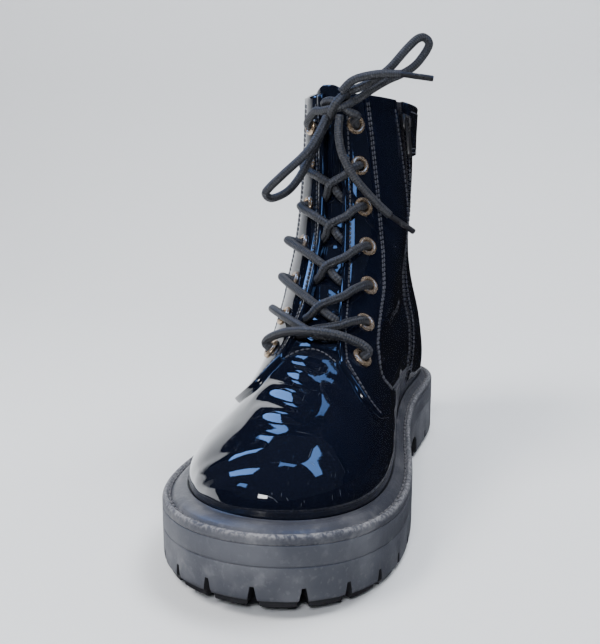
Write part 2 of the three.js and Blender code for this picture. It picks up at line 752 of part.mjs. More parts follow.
// Eyelets, each a flange and barrel through facing and upper.
const facingOuter = overlayGap + facingThickness;
function eyeletGeometry() {
  const bore = eyeletBore / 2;
  const barrel = eyeletBarrel / 2;
  const flange = eyeletFlange / 2;
  const foot = -(facingOuter + upperWall) + 0.1;
  const profile = [
    [bore, foot], [barrel, foot], [barrel, gap], [flange, gap],
    [(bore + flange) / 2, eyeletCrown], [bore, gap], [bore, foot],
  ].map(([r, y]) => new THREE.Vector2(r, y));
  const geometry = new THREE.LatheGeometry(profile, 8);
  geometry.rotateX(Math.PI / 2);
  return geometry;
}
sides.forEach((side) => {
  eyeletIndex.forEach((i) => {
    const { u, v } = eyeletPlace(side.sign, i);
    const mesh = addPiece(`eyelet_${side.name}_${i + 1}`, eyeletGeometry(), metal);
    mesh.applyMatrix4(surfaceFrame(u, v, facingOuter));
  });
});

// Tongue, under the throat and a little above the collar, where it leans to the lateral side.
const tongueOuter = -upperWall - tongueClearance;
function tongueEdges(v) {
  const lean = Math.max((v - tongueLeanStart) / (tongueTop - tongueLeanStart), 0) * tongueLean;
  return [laceCentre - lean - tongueHalf, laceCentre - lean + tongueHalf];
}
addPiece('tongue', patchSolid(
  steps(tongueFoot, tongueTop, 15), tongueEdges, 6, tongueOuter - tongueThickness, tongueOuter), leather);

// Rear collar panel, from the zip round the back to the lateral side.
const zipRear = zipAhead - zipSlot / 2 - 2;
const panelFoot = 1 - collarPanelHeight / (shaftHeight - instepHeight) * (shaftRows.length / (lastRows.length - 1));
addPiece('rear_collar', overlay(
  [panelFoot, past], (v) => [roundAt(v, zipRear), 2 - collarPanelSide], 12, collarPanelThickness, []), leather);

// Zip: tape in the slot, chain on the tape, slider and pull near the top.
addPiece('zip_tape', patchSolid(
  [zipFoot + 0.004, ...zipPlaces.slice(1, -1), 0.996], (v) => zipEdges(v, zipSlot / 2 - overlayGap), 2,
  -tapeDepth - tapeThickness, -tapeDepth), webbing);
const chainLow = -tapeDepth + gap;
const chainTop = chainLow + chainHeight;
addPiece('zip_chain', patchSolid(
  [zipFoot + 0.012, ...zipPlaces.slice(1, -1), 0.985], (v) => zipEdges(v, chainWidth / 2), 1,
  chainLow, chainTop), darkMetal);

const sliderFrame = surfaceFrame(roundAt(sliderPlace, zipAhead), sliderPlace, chainTop + gap);
function sliderGeometry() {
  const half = sliderWidth / 2;
  const end = sliderLength / 2;
  const outline = new THREE.Shape();
  outline.moveTo(-0.8 * half, -end);
  outline.lineTo(0.8 * half, -end);
  outline.lineTo(half, 0.2 * end);
  outline.lineTo(0.65 * half, end);
  outline.lineTo(-0.65 * half, end);
  outline.lineTo(-half, 0.2 * end);
  outline.closePath();
  const body = new THREE.ExtrudeGeometry(outline, { depth: sliderThickness, bevelEnabled: false });
  const foot = sliderThickness - 0.3;
  const crown = sliderThickness + bridgeHeight;
  const reach = 0.8 * end;
  const arch = new THREE.Shape();
  arch.moveTo(-reach, foot);
  arch.lineTo(-reach, crown - bridgeWall);
  arch.lineTo(-reach + bridgeWall, crown);
  arch.lineTo(reach - bridgeWall, crown);
  arch.lineTo(reach, crown - bridgeWall);
  arch.lineTo(reach, foot);
  arch.lineTo(reach - bridgeWall, foot);
  arch.lineTo(reach - bridgeWall, crown - bridgeWall);
  arch.lineTo(-reach + bridgeWall, crown - bridgeWall);
  arch.lineTo(-reach + bridgeWall, foot);
  arch.closePath();
  const bridge = new THREE.ExtrudeGeometry(arch, { depth: bridgeWidth, bevelEnabled: false });
  bridge.translate(0, 0, -bridgeWidth / 2);
  bridge.applyMatrix4(new THREE.Matrix4().makeBasis(
    new THREE.Vector3(0, 1, 0), new THREE.Vector3(0, 0, 1), new THREE.Vector3(1, 0, 0)));
  return toGeometry(join([body, bridge]));
}
addPiece('zip_slider', sliderGeometry(), darkMetal).applyMatrix4(sliderFrame);

// The pull hangs from a bar that turns under the slider's bridge.
function pullGeometry() {
  const half = pullWidth / 2;
  const slotHalf = bridgeWidth / 2 + pullPlay;
  const outline = new THREE.Shape();
  outline.moveTo(-half, 0);
  outline.lineTo(half, 0);
  outline.lineTo(half, -pullLength + pullCorner);
  outline.lineTo(half - pullCorner, -pullLength);
  outline.lineTo(-half + pullCorner, -pullLength);
  outline.lineTo(-half, -pullLength + pullCorner);
  outline.closePath();
  const window = new THREE.Path();
  window.moveTo(-slotHalf, -pullWindow);
  window.lineTo(slotHalf, -pullWindow);
  window.lineTo(slotHalf, -pullBar / 2);
  window.lineTo(-slotHalf, -pullBar / 2);
  window.closePath();
  outline.holes.push(window);
  const tab = new THREE.ExtrudeGeometry(outline, { depth: pullThickness, bevelEnabled: false });
  tab.translate(0, 0, -pullThickness / 2);
  const bar = new THREE.CylinderGeometry(pullBar / 2, pullBar / 2, pullWidth, 8);
  bar.rotateZ(Math.PI / 2);
  return toGeometry(join([tab, bar]));
}
const tunnelMiddle = sliderThickness + (bridgeHeight - bridgeWall) / 2;
const pull = addPiece('zip_pull', pullGeometry(), darkMetal);
pull.applyMatrix4(new THREE.Matrix4().makeTranslation(0, -hingeDrop, tunnelMiddle).premultiply(sliderFrame));

// Lace: a bar over the facings between the lowest eyelets, crossings above it, and the bow.
const laceRadius = laceDiameter / 2;
const overEyelet = facingOuter + eyeletCrown + laceRadius + laceStand;
const overFacing = facingOuter + laceRadius + laceStand;
const bootPlace = (u, v, off) => new THREE.Vector3(...toPart(skin(u, v, off)));

function tube(points, radius, segments, sides) {
  const round = new THREE.Shape();
  round.moveTo(radius, 0);
  for (let i = 1; i < sides; i += 1) {
    const turn = (2 * Math.PI * i) / sides;
    round.lineTo(radius * Math.cos(turn), radius * Math.sin(turn));
  }
  round.closePath();
  const path = new THREE.CatmullRomCurve3(points);
  return new THREE.ExtrudeGeometry(round, { steps: segments, extrudePath: path, bevelEnabled: false, curveSegments: 1 });
}

const lowest = eyeletCount - 1;
const barRows = [
  { share: 1, rise: 0, off: 0 }, { share: 0.8, rise: 0.29, off: 0.3 }, { share: 0.45, rise: 0.59, off: 0.1 },
  { share: 0, rise: 0.72, off: 0.3 },
];
const barHalf = (sign) => barRows.map((row) => bootPlace(
  laceCentre + sign * eyeletReach[lowest] * row.share,
  topEyelet - eyeletStep * (lowest - row.rise), overEyelet + row.off));
addPiece('lace_bar', tube([...barHalf(-1), ...barHalf(1).slice(0, -1).reverse()], laceRadius, 14, 8), cordage);

// Each crossing has two strands that meet in the throat, one over the other.
function strand(sign, i, drop, overlap) {
  const { v } = eyeletPlace(sign, i);
  const place = (share, fall, off) => bootPlace(
    laceCentre + sign * eyeletReach[i] * share, v - fall * drop * eyeletStep, off);
  const foot = v - drop * eyeletStep;
  const reach = facingEdge(foot) - laceEndClear;
  return tube([
    place(1, 0, overEyelet), place(0.72, 0.04, overEyelet + 0.3), place(0.42, 0.24, overFacing + 0.9),
    place(0, 0.62, overlap), bootPlace(laceCentre - sign * reach, foot, laceEndOff),
  ], laceRadius, 9, 6);
}
crossingDrop.forEach((drop, k) => {
  const i = k + 1;
  const pair = [strand(1, i, drop, crossingOver), strand(-1, i, drop, crossingUnder)];
  addPiece(`lace_crossing_${i}`, toGeometry(join(pair)), cordage);
});

// Knot with its strands from the top eyelets, then loops, ends and aglets.
const knot = skin(laceCentre + knotSide, knotPlace, knotStand);
function knotPart(sign) {
  const { u, v } = eyeletPlace(sign, 0);
  const middle = skin(u - sign * 0.035, v + 0.012, overEyelet + 0.7);
  const into = knot.clone().lerp(middle, 0.3);
  return tube([bootPlace(u, v, overEyelet), new THREE.Vector3(...toPart(middle)), new THREE.Vector3(...toPart(into))],
    laceRadius, 4, 8);
}
const bead = new THREE.IcosahedronGeometry(1, 1);
bead.scale(knotWide, knotDeep, knotTall);
bead.translate(...toPart(knot));
addPiece('lace_knot', toGeometry(join([bead, knotPart(1), knotPart(-1)])), cordage);

function bowPoint([x, ahead, z]) {
  return new THREE.Vector3(...toPart(knot.clone().add(new THREE.Vector3(x, ahead, z).multiplyScalar(bowReach))));
}
addPiece('lace_loop_upper', tube(upperLoop.map(bowPoint), laceRadius, 16, 8), cordage);
addPiece('lace_loop_lower', tube(lowerLoop.map(bowPoint), laceRadius, 16, 8), cordage);
const looseEnds = [
  { name: 'upper', points: upperEnd, toward: [0.94, -0.06, 0.23] },
  { name: 'lower', points: lowerEnd, toward: [0.89, -0.23, -1.31] },
];
looseEnds.forEach((end) => {
  const points = end.points.map(bowPoint);
  addPiece(`lace_end_${end.name}`, tube(points, laceRadius, 3 * points.length - 4, 8), cordage);
  const start = points[points.length - 1];
  const along = bowPoint(end.toward).sub(start).normalize();
  const aglet = new THREE.CylinderGeometry(agletDiameter / 2, agletDiameter / 2, agletLength, 8);
  aglet.applyQuaternion(new THREE.Quaternion().setFromUnitVectors(new THREE.Vector3(0, 1, 0), along));
  aglet.translate(...start.clone().addScaledVector(along, agletLength / 2 + 2 * gap).toArray());
  addPiece(`aglet_${end.name}`, aglet, agletFilm);
});

// The group is moved so that the middle of the sole's outline stands over the origin.
boot.updateMatrixWorld(true);
const bounds = new THREE.Box3().setFromObject(boot.getObjectByName('outsole'), true);
boot.position.set(-(bounds.min.x + bounds.max.x) / 2, -(bounds.min.y + bounds.max.y) / 2, 0);

export default boot;
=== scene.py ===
import math

import bmesh
import bpy
import numpy as np
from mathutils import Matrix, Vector


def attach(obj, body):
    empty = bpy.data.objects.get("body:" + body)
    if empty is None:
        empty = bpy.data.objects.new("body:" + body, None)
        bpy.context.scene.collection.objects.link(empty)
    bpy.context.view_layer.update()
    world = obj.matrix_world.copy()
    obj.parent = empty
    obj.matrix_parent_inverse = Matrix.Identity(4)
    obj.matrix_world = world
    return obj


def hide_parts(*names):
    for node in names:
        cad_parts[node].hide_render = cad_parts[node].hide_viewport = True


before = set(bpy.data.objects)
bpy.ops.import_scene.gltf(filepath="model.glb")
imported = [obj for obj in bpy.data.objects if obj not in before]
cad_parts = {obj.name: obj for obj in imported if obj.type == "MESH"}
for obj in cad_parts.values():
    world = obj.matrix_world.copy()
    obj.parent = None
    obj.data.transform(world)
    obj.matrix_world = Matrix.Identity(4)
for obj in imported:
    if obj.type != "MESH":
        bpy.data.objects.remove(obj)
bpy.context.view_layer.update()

MM = 0.001

# Sizes in millimetres and shares of them, as in the part's source.
FOOT_LENGTH = 262.0
BALL_WIDTH = 86.0
INSTEP = 92.0
SHAFT_HEIGHT = 157.0
SHAFT_WIDTH = 54.0
SHAFT_DEPTH = 111.0
SHAFT_BACK = 6.0
WAIST_BEND = 3.0
TOE_BEND = 8.0
WALL = 2.2
HEEL_SEAT = 31.0
FORE_SEAT = 24.0
TOE_SPRING = 5.0
STORM_HEIGHT = 5.9
MIDSOLE = 8.0
INSOLE = 4.0
HEEL_MARGIN = 8.0
SIDE_MARGIN = 8.5
TOE_MARGIN = 15.0
GAP = 0.3
ARCH_HEIGHT = 15.0
HEEL_LENGTH = 77.0
ARCH_LENGTH = 57.0
NOTCH_PITCH = 19.0
NOTCH_PHASE = 3.0
NOTCH_HEIGHT = 7.5
NOTCH_DEPTH = 13.0
CHANNEL_INSET = 15.0
CHANNEL_WIDTH = 4.0
TREAD_DEPTH = 6.0
TREAD_PITCH = 19.0
THROAT = 0.487
LACE_CENTRE = -0.012
FACING = 1.6
TONGUE_OFF = -2.8
TONGUE_HALF = 0.195
TONGUE_TOP = 1.022
TONGUE_LEAN = 0.035
ZIP_AHEAD = 75.0
ZIP_SLOT = 9.0
ZIP_FOOT = 0.075
EYELETS = 7
TOP_EYELET = 0.932
EYELET_STEP = 0.0835
LACE_R = 2.0
# Where the seat falls to the ball and where seat and tread rise to the toe: start and run, in shares
# of the foot's length.
SEAT_FALL, SEAT_FALL_RUN = 0.229, 0.439
SEAT_TOE, SEAT_TOE_RUN = 0.725, 0.32
TREAD_TOE, TREAD_TOE_RUN = 0.785, 0.265
# Where the facing starts and where it and other pieces on the upper end.
FACING_FOOT, FACING_HEAD = 0.212, 0.9995
SEAM_HEAD = 0.985
HOLE_R = 3.4
UNDERSIDE = -0.2

# Rows of the upper, as in the part: back, front, back rise, front rise, hug, four half widths
# and the two end places, in shares of the sizes that each follows.
FOOT_ROWS = [
    (0.008, 0.996, 0, 0, 1, 0.325, 0.372, 0.48, 0.365, 0, 0),
    (-0.004, 1.003, 0.13, 0.13, 1, 0.343, 0.384, 0.495, 0.39, 0, 0.012),
    (-0.011, 0.986, 0.25, 0.232, 1, 0.343, 0.384, 0.455, 0.36, -0.012, 0.047),
    (-0.015, 0.949, 0.38, 0.332, 1, 0.325, 0.372, 0.385, 0.308, -0.023, 0.093),
    (-0.011, 0.894, 0.51, 0.42, 1, 0.302, 0.355, 0.331, 0.256, -0.035, 0.122),
    (0, 0.822, 0.63, 0.503, 0.8, 0.279, 0.331, 0.308, 0.227, -0.052, 0.122),
    (0.015, 0.74, 0.75, 0.61, 0.6, 0.262, 0.314, 0.308, 0.203, -0.058, 0.11),
    (0.031, 0.66, 0.87, 0.73, 0.4, 0.25, 0.302, 0.314, 0.192, -0.058, 0.093),
    (0.042, 0.592, 1, 0.88, 0.2, 0.244, 0.302, 0.32, 0.186, -0.058, 0.07),
]
SHAFT_ROWS = [
    (0.054, 1.216, 0.185, 0.077, 0.38, 0.49, 0.51, 0.287, -0.083, 0.074),
    (0.054, 1.126, 0.385, 0.323, 0.37, 0.5, 0.5, 0.278, -0.074, 0.028),
    (0.036, 1.063, 0.6, 0.6, 0.36, 0.5, 0.48, 0.268, -0.074, -0.01),
    (0.018, 1.027, 0.8, 0.877, 0.352, 0.5, 0.454, 0.26, -0.074, -0.046),
    (0, 1, 1, 1.138, 0.352, 0.5, 0.435, 0.25, -0.074, -0.074),
]
FOOT_SCALE = np.array([FOOT_LENGTH, FOOT_LENGTH, INSTEP, INSTEP, 1] + 6 * [BALL_WIDTH])
SHAFT_RISE = SHAFT_HEIGHT - INSTEP
rows = [np.array(r) * FOOT_SCALE for r in FOOT_ROWS]
for back, front, b_rise, f_rise, *wide in SHAFT_ROWS:
    rows.append(np.array([
        SHAFT_BACK + back * SHAFT_DEPTH, SHAFT_BACK + front * SHAFT_DEPTH,
        INSTEP + b_rise * SHAFT_RISE, INSTEP + f_rise * SHAFT_RISE, 0,
        *(w * SHAFT_WIDTH for w in wide)]))
ROWS = np.array([2 * rows[0] - rows[1], *rows, 2 * rows[-1] - rows[-2]])
LAST = len(rows) - 1
STATIONS = (0.12, 0.42, 0.68, 0.92)
FACING_ROWS = np.array([
    (0.212, 0.345, 0.45), (0.235, 0.305, 0.432), (0.31, 0.235, 0.372), (0.39, 0.165, 0.322),
    (0.44, 0.118, 0.298), (0.49, 0.098, 0.288), (0.58, 0.078, 0.29), (0.7, 0.058, 0.262),
    (0.83, 0.052, 0.246), (1, 0.046, 0.226)])
EYELET_REACH = (0.133, 0.145, 0.16, 0.18, 0.2, 0.204, 0.206)
# The sole's edge outside the upper, from toe to heel: lateral and medial factors of a margin.
MARGINS = ((1, 1, TOE_MARGIN), (1.45, 1.3, SIDE_MARGIN), (0.95, 1.1, SIDE_MARGIN),
           (0.9, 0.9, SIDE_MARGIN), (0.9, 1, HEEL_MARGIN), (1, 1, HEEL_MARGIN))


# The boot's own surface.
def spline_weights(t):
    s = 1 - t
    return (s ** 3 / 6, (3 * t ** 3 - 6 * t ** 2 + 4) / 6,
            (-3 * t ** 3 + 3 * t ** 2 + 3 * t + 1) / 6, t ** 3 / 6)


def cubic_through(stations, values, t):
    total = 0
    for i, value in enumerate(values):
        weight = 1
        for j, s in enumerate(stations):
            if j != i:
                weight = weight * (t - s) / (stations[i] - s)
        total = total + value * weight
    return total


def row_at(v):
    inside = np.clip(v, 0, 1) * LAST
    i = np.minimum(np.floor(inside).astype(int), LAST - 1)
    row = sum(w[..., None] * ROWS[i + k] for k, w in enumerate(spline_weights(inside - i)))
    return row + (np.maximum(v - 1, 0) * LAST)[..., None] * (ROWS[-2] - ROWS[-3])


def seat_height(ahead):
    t = np.clip((ahead - SEAT_FALL * FOOT_LENGTH) / (SEAT_FALL_RUN * FOOT_LENGTH), 0, 1)
    ease = t ** 3 * (t * (6 * t - 15) + 10)
    toe = np.maximum((ahead - SEAT_TOE * FOOT_LENGTH) / (SEAT_TOE_RUN * FOOT_LENGTH), 0)
    return HEEL_SEAT + (FORE_SEAT - HEEL_SEAT) * ease + TOE_SPRING * toe ** 2


def tread_height(ahead):
    toe = np.maximum((ahead - TREAD_TOE * FOOT_LENGTH) / (TREAD_TOE_RUN * FOOT_LENGTH), 0)
    return TOE_SPRING * toe ** 2


def foot_bend(ahead):
    t = np.clip(ahead / FOOT_LENGTH, -0.05, 1.08)
    return cubic_through((0, 0.4, 0.7, 1), (0, -WAIST_BEND, 0, TOE_BEND), t)


def last_point(u, v):
    """Outside of the upper in shoe coordinates: x medial, ahead from heel to toe, z up."""
    u, v = np.broadcast_arrays(np.asarray(u, float), np.asarray(v, float))
    row = np.moveaxis(row_at(v), -1, 0)
    back, front, b_rise, f_rise, hug = row[:5]
    theta = np.pi * u
    along = (1 + np.cos(theta)) / 2
    ahead = back + (front - back) * along
    bulge = [w / math.sqrt(4 * s * (1 - s)) for w, s in zip(row[5:9], STATIONS)]
    half = np.sin(theta) * cubic_through(STATIONS, bulge, along)
    back_seat = seat_height(back)
    chord = back_seat + (seat_height(front) - back_seat) * along
    x = half + hug * foot_bend(ahead) + row[9] + (row[10] - row[9]) * along
    z = chord + b_rise + (f_rise - b_rise) * along + hug * (seat_height(ahead) - chord)
    return np.stack([x, ahead, z], -1)


PROBE = 0.001


def last_normal(u, v):
    u, v = np.broadcast_arrays(np.asarray(u, float), np.asarray(v, float))
    around = last_point(u + PROBE, v) - last_point(u - PROBE, v)
    up = last_point(u, v + PROBE) - last_point(u, np.maximum(v - PROBE, 0))
    n = -np.cross(around, up)
    return n / np.linalg.norm(n, axis=-1, keepdims=True)


def sole_edge(u, inset):
    """Plan point of the sole's edge, at height 0."""
    u = np.asarray(u, float)
    base = last_point(u, 0)
    tangent = last_point(u + PROBE, 0) - last_point(u - PROBE, 0)
    outward = np.stack([-tangent[..., 1], tangent[..., 0]], -1)
    outward /= np.linalg.norm(outward, axis=-1, keepdims=True)
    wrapped = (u + 1) % 2 - 1
    last = len(MARGINS) - 1
    place = np.abs(wrapped) * last
    i = np.minimum(np.floor(place).astype(int), last - 1)
    lateral = np.array([m[0] * m[2] for m in MARGINS])
    medial = np.array([m[1] * m[2] for m in MARGINS])
    margin = 0
    for k, w in enumerate(spline_weights(place - i)):
        j = i - 1 + k
        mirrored = (j < 0) | (j > last)
        j = np.where(j < 0, -j, np.where(j > last, 2 * last - j, j))
        margin = margin + w * np.where((wrapped > 0) != mirrored, medial[j], lateral[j])
    base[..., :2] += outward * (margin - inset)[..., None]
    base[..., 2] = 0
    return base


COARSE = np.linspace(-1, 1, 64, endpoint=False)
outline = sole_edge(COARSE, 0.0)
MIDDLE = (outline.min(0) + outline.max(0)) / 2


def to_part(p):
    """Shoe coordinates in millimetres to the part's frame in metres."""
    return np.stack([p[..., 0] - MIDDLE[0], MIDDLE[1] - p[..., 1], p[..., 2]], -1) * MM


def skin(u, v, off):
    n = last_normal(u, v)
    return last_point(u, v) + n * np.broadcast_to(np.asarray(off, float), n.shape[:-1])[..., None]


def round_at(v, ahead):
    """Place round the upper, on the medial side, of a length ahead."""
    row = row_at(np.asarray(v, float))
    along = (ahead - row[..., 0]) / (row[..., 1] - row[..., 0])
    return np.arccos(2 * along - 1) / np.pi


def facing_edge(v):
    return np.interp(v, FACING_ROWS[:, 0], FACING_ROWS[:, 1])


def facing_seam(v):
    return np.interp(v, FACING_ROWS[:, 0], FACING_ROWS[:, 2])


def eyelet_place(side, i):
    return LACE_CENTRE + side * EYELET_REACH[i], TOP_EYELET - EYELET_STEP * i


# Camera.
PHOTO_WIDTH, PHOTO_HEIGHT = 600, 644
PHOTO_FOCAL = 800.0
ZOOM = 1.17
CAMERA_PLACE = (0.1192, -0.4325, 0.1672)
CAMERA_YAW, CAMERA_PITCH = math.radians(-10), math.radians(13.9)
BOOT_MIDDLE = (198.0, 276.0)
SENSOR = 36.0


def aim():
    """Direction from the camera to the middle of the one boot, found from its place in the photo."""
    yaw, pitch = CAMERA_YAW, CAMERA_PITCH
    level = math.cos(pitch)
    ahead = Vector((math.sin(yaw) * level, math.cos(yaw) * level, -math.sin(pitch)))
    right = Vector((math.cos(yaw), -math.sin(yaw), 0))
    up = right.cross(ahead)
    dx = (BOOT_MIDDLE[0] - PHOTO_WIDTH / 2) / PHOTO_FOCAL
    dy = (PHOTO_HEIGHT / 2 - BOOT_MIDDLE[1]) / PHOTO_FOCAL
    return ahead + dx * right + dy * up


camera_data = bpy.data.cameras.new("camera")
camera_data.sensor_width = SENSOR
camera_data.lens = SENSOR * PHOTO_FOCAL * ZOOM / PHOTO_HEIGHT
camera = bpy.data.objects.new("camera", camera_data)
camera.location = CAMERA_PLACE
camera.rotation_euler = aim().to_track_quat("-Z", "Y").to_euler()
bpy.context.scene.collection.objects.link(camera)
bpy.context.scene.camera = camera


def link(obj):
    bpy.context.scene.collection.objects.link(obj)
    return obj


# Materials.
class Net:
    """A socket in a node tree, with arithmetic written as operators."""

    def __init__(self, tree, socket):
        self.tree = tree
        self.socket = socket

    def node(self, kind, out=0, settings=(), **inputs):
        n = self.tree.nodes.new(kind)
        for key, value in dict(settings).items():
            setattr(n, key, value)
        for key, value in inputs.items():
            name = key.replace("_", " ")
            numbered = name[0] == "i" and name[1:].isdigit()
            target = n.inputs[int(name[1:]) if numbered else name]
            if isinstance(value, Net):
                self.tree.links.new(value.socket, target)
            else:
                target.default_value = value
        return Net(self.tree, n.outputs[out])

    def math(self, operation, *others):
        values = {f"i{k}": o for k, o in enumerate((self, *others))}
        return self.node("ShaderNodeMath", settings={"operation": operation}, **values)

    def __add__(self, o):
        return self.math("ADD", o)

    __radd__ = __add__

    def __sub__(self, o):
        return self.math("SUBTRACT", o)

    def __rsub__(self, o):
        return (self * -1) + o

    def __mul__(self, o):
        return self.math("MULTIPLY", o)

    __rmul__ = __mul__

    def sin(self):
        return self.math("SINE")

    def clamp(self):
        return self.node("ShaderNodeClamp", Value=self)

    def ramp(self, low, high):
        """0 below low, 1 above high, smooth between."""
        return self.node("ShaderNodeMapRange", settings={"interpolation_type": "SMOOTHSTEP"},
                         Value=self, From_Min=low, From_Max=high)

    def turned(self, angles, scale):
        """This vector, turned and then scaled along its axes."""
        return self.node("ShaderNodeMapping", Vector=self, Rotation=angles, Scale=scale)

    def noise(self, scale, detail=2.0):
        """Noise over this vector, with features of 1 / scale metres."""
        return self.node("ShaderNodeTexNoise", Vector=self, Scale=scale, Detail=detail)

    def mix(self, low, high):
        """Colour low where this is 0 and high where it is 1."""
        n = self.tree.nodes.new("ShaderNodeMix")
        n.data_type = "RGBA"
        self.tree.links.new(self.socket, n.inputs[0])
        for index, value in ((6, low), (7, high)):
            if isinstance(value, Net):
                self.tree.links.new(value.socket, n.inputs[index])
            else:
                n.inputs[index].default_value = (*value, 1)
        return Net(self.tree, n.outputs[2])

    def axes(self):
        n = self.tree.nodes.new("ShaderNodeSeparateXYZ")
        self.tree.links.new(self.socket, n.inputs[0])
        return [Net(self.tree, o) for o in n.outputs]

    def bump(self, height_m):
        """Normal from a height of 0 to 1 that stands for height_m metres."""
        return self.node("ShaderNodeBump", Height=self, Strength=1.0, Distance=height_m)


def material(name, build, **plain):
    m = bpy.data.materials.new(name)
    m.use_nodes = True
    tree = m.node_tree
    shader = tree.nodes["Principled BSDF"]
    for key, value in plain.items():
        shader.inputs[key.replace("_", " ")].default_value = value
    coords = tree.nodes.new("ShaderNodeTexCoord")
    place = Net(tree, coords.outputs["Object"])
    flat = Net(tree, coords.outputs["UV"])
    for key, value in build(place, flat).items():
        tree.links.new(value.socket, shader.inputs[key.replace("_", " ")])
    return m


def patent(place, flat):
    """Coated leather: nearly black, with fine peel, faint scratches and a little dust."""
    peel = place.noise(700, 1)
    swell = place.noise(70, 1)
    region = place.noise(22, 2).ramp(0.5, 0.68)
    lines = place.turned((0.4, 0.2, 0.7), (90, 2600, 300)).noise(1, 1).ramp(0.72, 0.76)
    crossed = place.turned((0.1, 0.5, -0.8), (2400, 80, 260)).noise(1, 1).ramp(0.73, 0.77)
    scratch = (lines + crossed).clamp() * region
    dust = place.noise(60, 4).ramp(0.62, 0.8) * place.noise(900, 3).ramp(0.5, 0.75)
    marks = (dust * 0.8 + scratch * 0.7).clamp()
    return {
        "Base_Color": marks.mix((0.0035, 0.005, 0.012), (0.07, 0.078, 0.095)),
        "Roughness": marks * 0.35 + 0.05,
        "Normal": (peel * 0.05 + swell * 0.5 - scratch * 0.2).bump(0.0003),
    }


def rubber(low, high, dusty, ring=None, shade_foot_heights=None):
    """Moulded rubber with dust in patches.

    ring is the band of UV.x, in mm, that holds most dust. Below the heights given for the foot, in mm of
    UV.y, the
    rubber is darkened to near black: painted shade where the lugs sit under the sidewall.
    """
    def build(place, flat):
        grain = place.noise(2600, 2)
        patches = place.noise(34, 5).ramp(0.4, 0.74)
        specks = place.noise(520, 3).ramp(0.56, 0.7)
        smudge = place.noise(120, 4).ramp(0.56, 0.74)
        wear = patches * dusty + specks * 0.3 * dusty + smudge * 0.3
        if ring:
            inset = flat.axes()[0]
            inside = inset.ramp(ring[0] - 0.7, ring[0]) * inset.ramp(ring[1] + 0.5, ring[1])
            wear = wear + inside * (place.noise(700, 3).ramp(0.38, 0.62) * 0.75)
        colour = wear.clamp().mix(low, high)
        shine = flat.axes()[0].ramp(ring[1] + 0.7, ring[1] + 1.7) * 0.25 if ring else 0.0
        # Painted shade: below the heights given, the foot of the outsole is darkened to near black, as if in
        # shadow under the sidewall.
        if shade_foot_heights:
            colour = flat.axes()[1].ramp(*shade_foot_heights).mix((0.02, 0.02, 0.024), colour)
        return {
            "Base_Color": colour,
            "Roughness": patches * 0.12 + 0.55 - shine,
            "Normal": (grain * 0.5 + place.noise(260, 3)).bump(0.00018),
        }
    return build


def lining(place, flat):
    weave = place.noise(1800, 2)
    return {
        "Base_Color": weave.mix((0.012, 0.012, 0.014), (0.04, 0.04, 0.044)),
        "Normal": weave.bump(0.0002),
    }


def braid(place, flat):
    """Round braid: two families of strands that wind opposite ways. UV is in braid repeats."""
    along, across, _ = flat.axes()
    one = ((along + across) * (2 * math.pi)).sin()
    two = ((along - across) * (2 * math.pi)).sin()
    weave = one * two * 0.5 + 0.5
    fleck = place.noise(1500, 2).ramp(0.55, 0.75)
    return {
        "Base_Color": (weave * 0.35 + fleck * 0.65).clamp().mix(
            (0.018, 0.019, 0.023), (0.12, 0.122, 0.135)),
        "Roughness": fleck * 0.2 + 0.42,
        "Normal": (weave + fleck * 0.2).bump(0.0003),
    }


def twill(place, flat):
    along, across, _ = flat.axes()
    along, across = along * 9, across * 9
    weave = ((along + across) * math.pi).sin() * ((along - across) * math.pi).sin() * 0.5 + 0.5
    dust = place.noise(300, 3).ramp(0.5, 0.75)
    return {
        "Base_Color": (weave * 0.5 + dust * 0.4).clamp().mix(
            (0.014, 0.012, 0.016), (0.07, 0.064, 0.075)),
        "Normal": weave.bump(0.00025),
    }


def plated(place, flat):
    wear = place.noise(350, 3)
    tone = place.noise(30, 1).ramp(0.4, 0.6)
    return {
        "Base_Color": tone.mix((0.62, 0.46, 0.31), (0.66, 0.54, 0.44)),
        "Roughness": wear * 0.3 + 0.1,
    }


def enamel(place, flat):
    wear = place.noise(500, 3)
    return {
        "Base_Color": wear.ramp(0.6, 0.8).mix((0.02, 0.02, 0.023), (0.12, 0.12, 0.125)),
        "Roughness": wear * 0.2 + 0.2,
    }


def thread(low, high):
    def build(place, flat):
        twist = place.noise(2500, 2)
        return {"Base_Color": twist.ramp(0.35, 0.65).mix(low, high), "Normal": twist.bump(0.0002)}
    return build


PATENT = material("patent_leather", patent, IOR=1.48, Coat_Weight=1.0, Coat_Roughness=0.025)
# Sole rubber, with painted shade darkening its foot from 2.4 to 2.9 mm over the tread down.
SOLE = material("sole_rubber", rubber(
    (0.058, 0.062, 0.078), (0.19, 0.192, 0.208), 0.6, shade_foot_heights=(2.4, 2.9)))
BAND = material("band_rubber", rubber((0.064, 0.068, 0.085), (0.165, 0.168, 0.185), 0.45))
WELTING = material("welt_rubber", rubber(
    (0.052, 0.055, 0.07), (0.25, 0.248, 0.258), 0.3, ring=(0.6, 2.5)))
LINING = material("lining_cloth", lining, Roughness=0.9)
LACE = material("lace_braid", braid)
TAPE = material("zip_webbing", twill, Roughness=0.85)
GOLD = material("eyelet_plate", plated, Metallic=0.82)
ENAMEL = material("zip_enamel", enamel, Coat_Weight=0.4)
THREAD = material("thread", thread((0.02, 0.021, 0.028), (0.11, 0.113, 0.13)), Roughness=0.5)
WAXED = material("welt_thread", thread((0.03, 0.03, 0.036), (0.17, 0.168, 0.175)), Roughness=0.75)
AGLET = material("aglet_film", enamel, Coat_Weight=0.8)


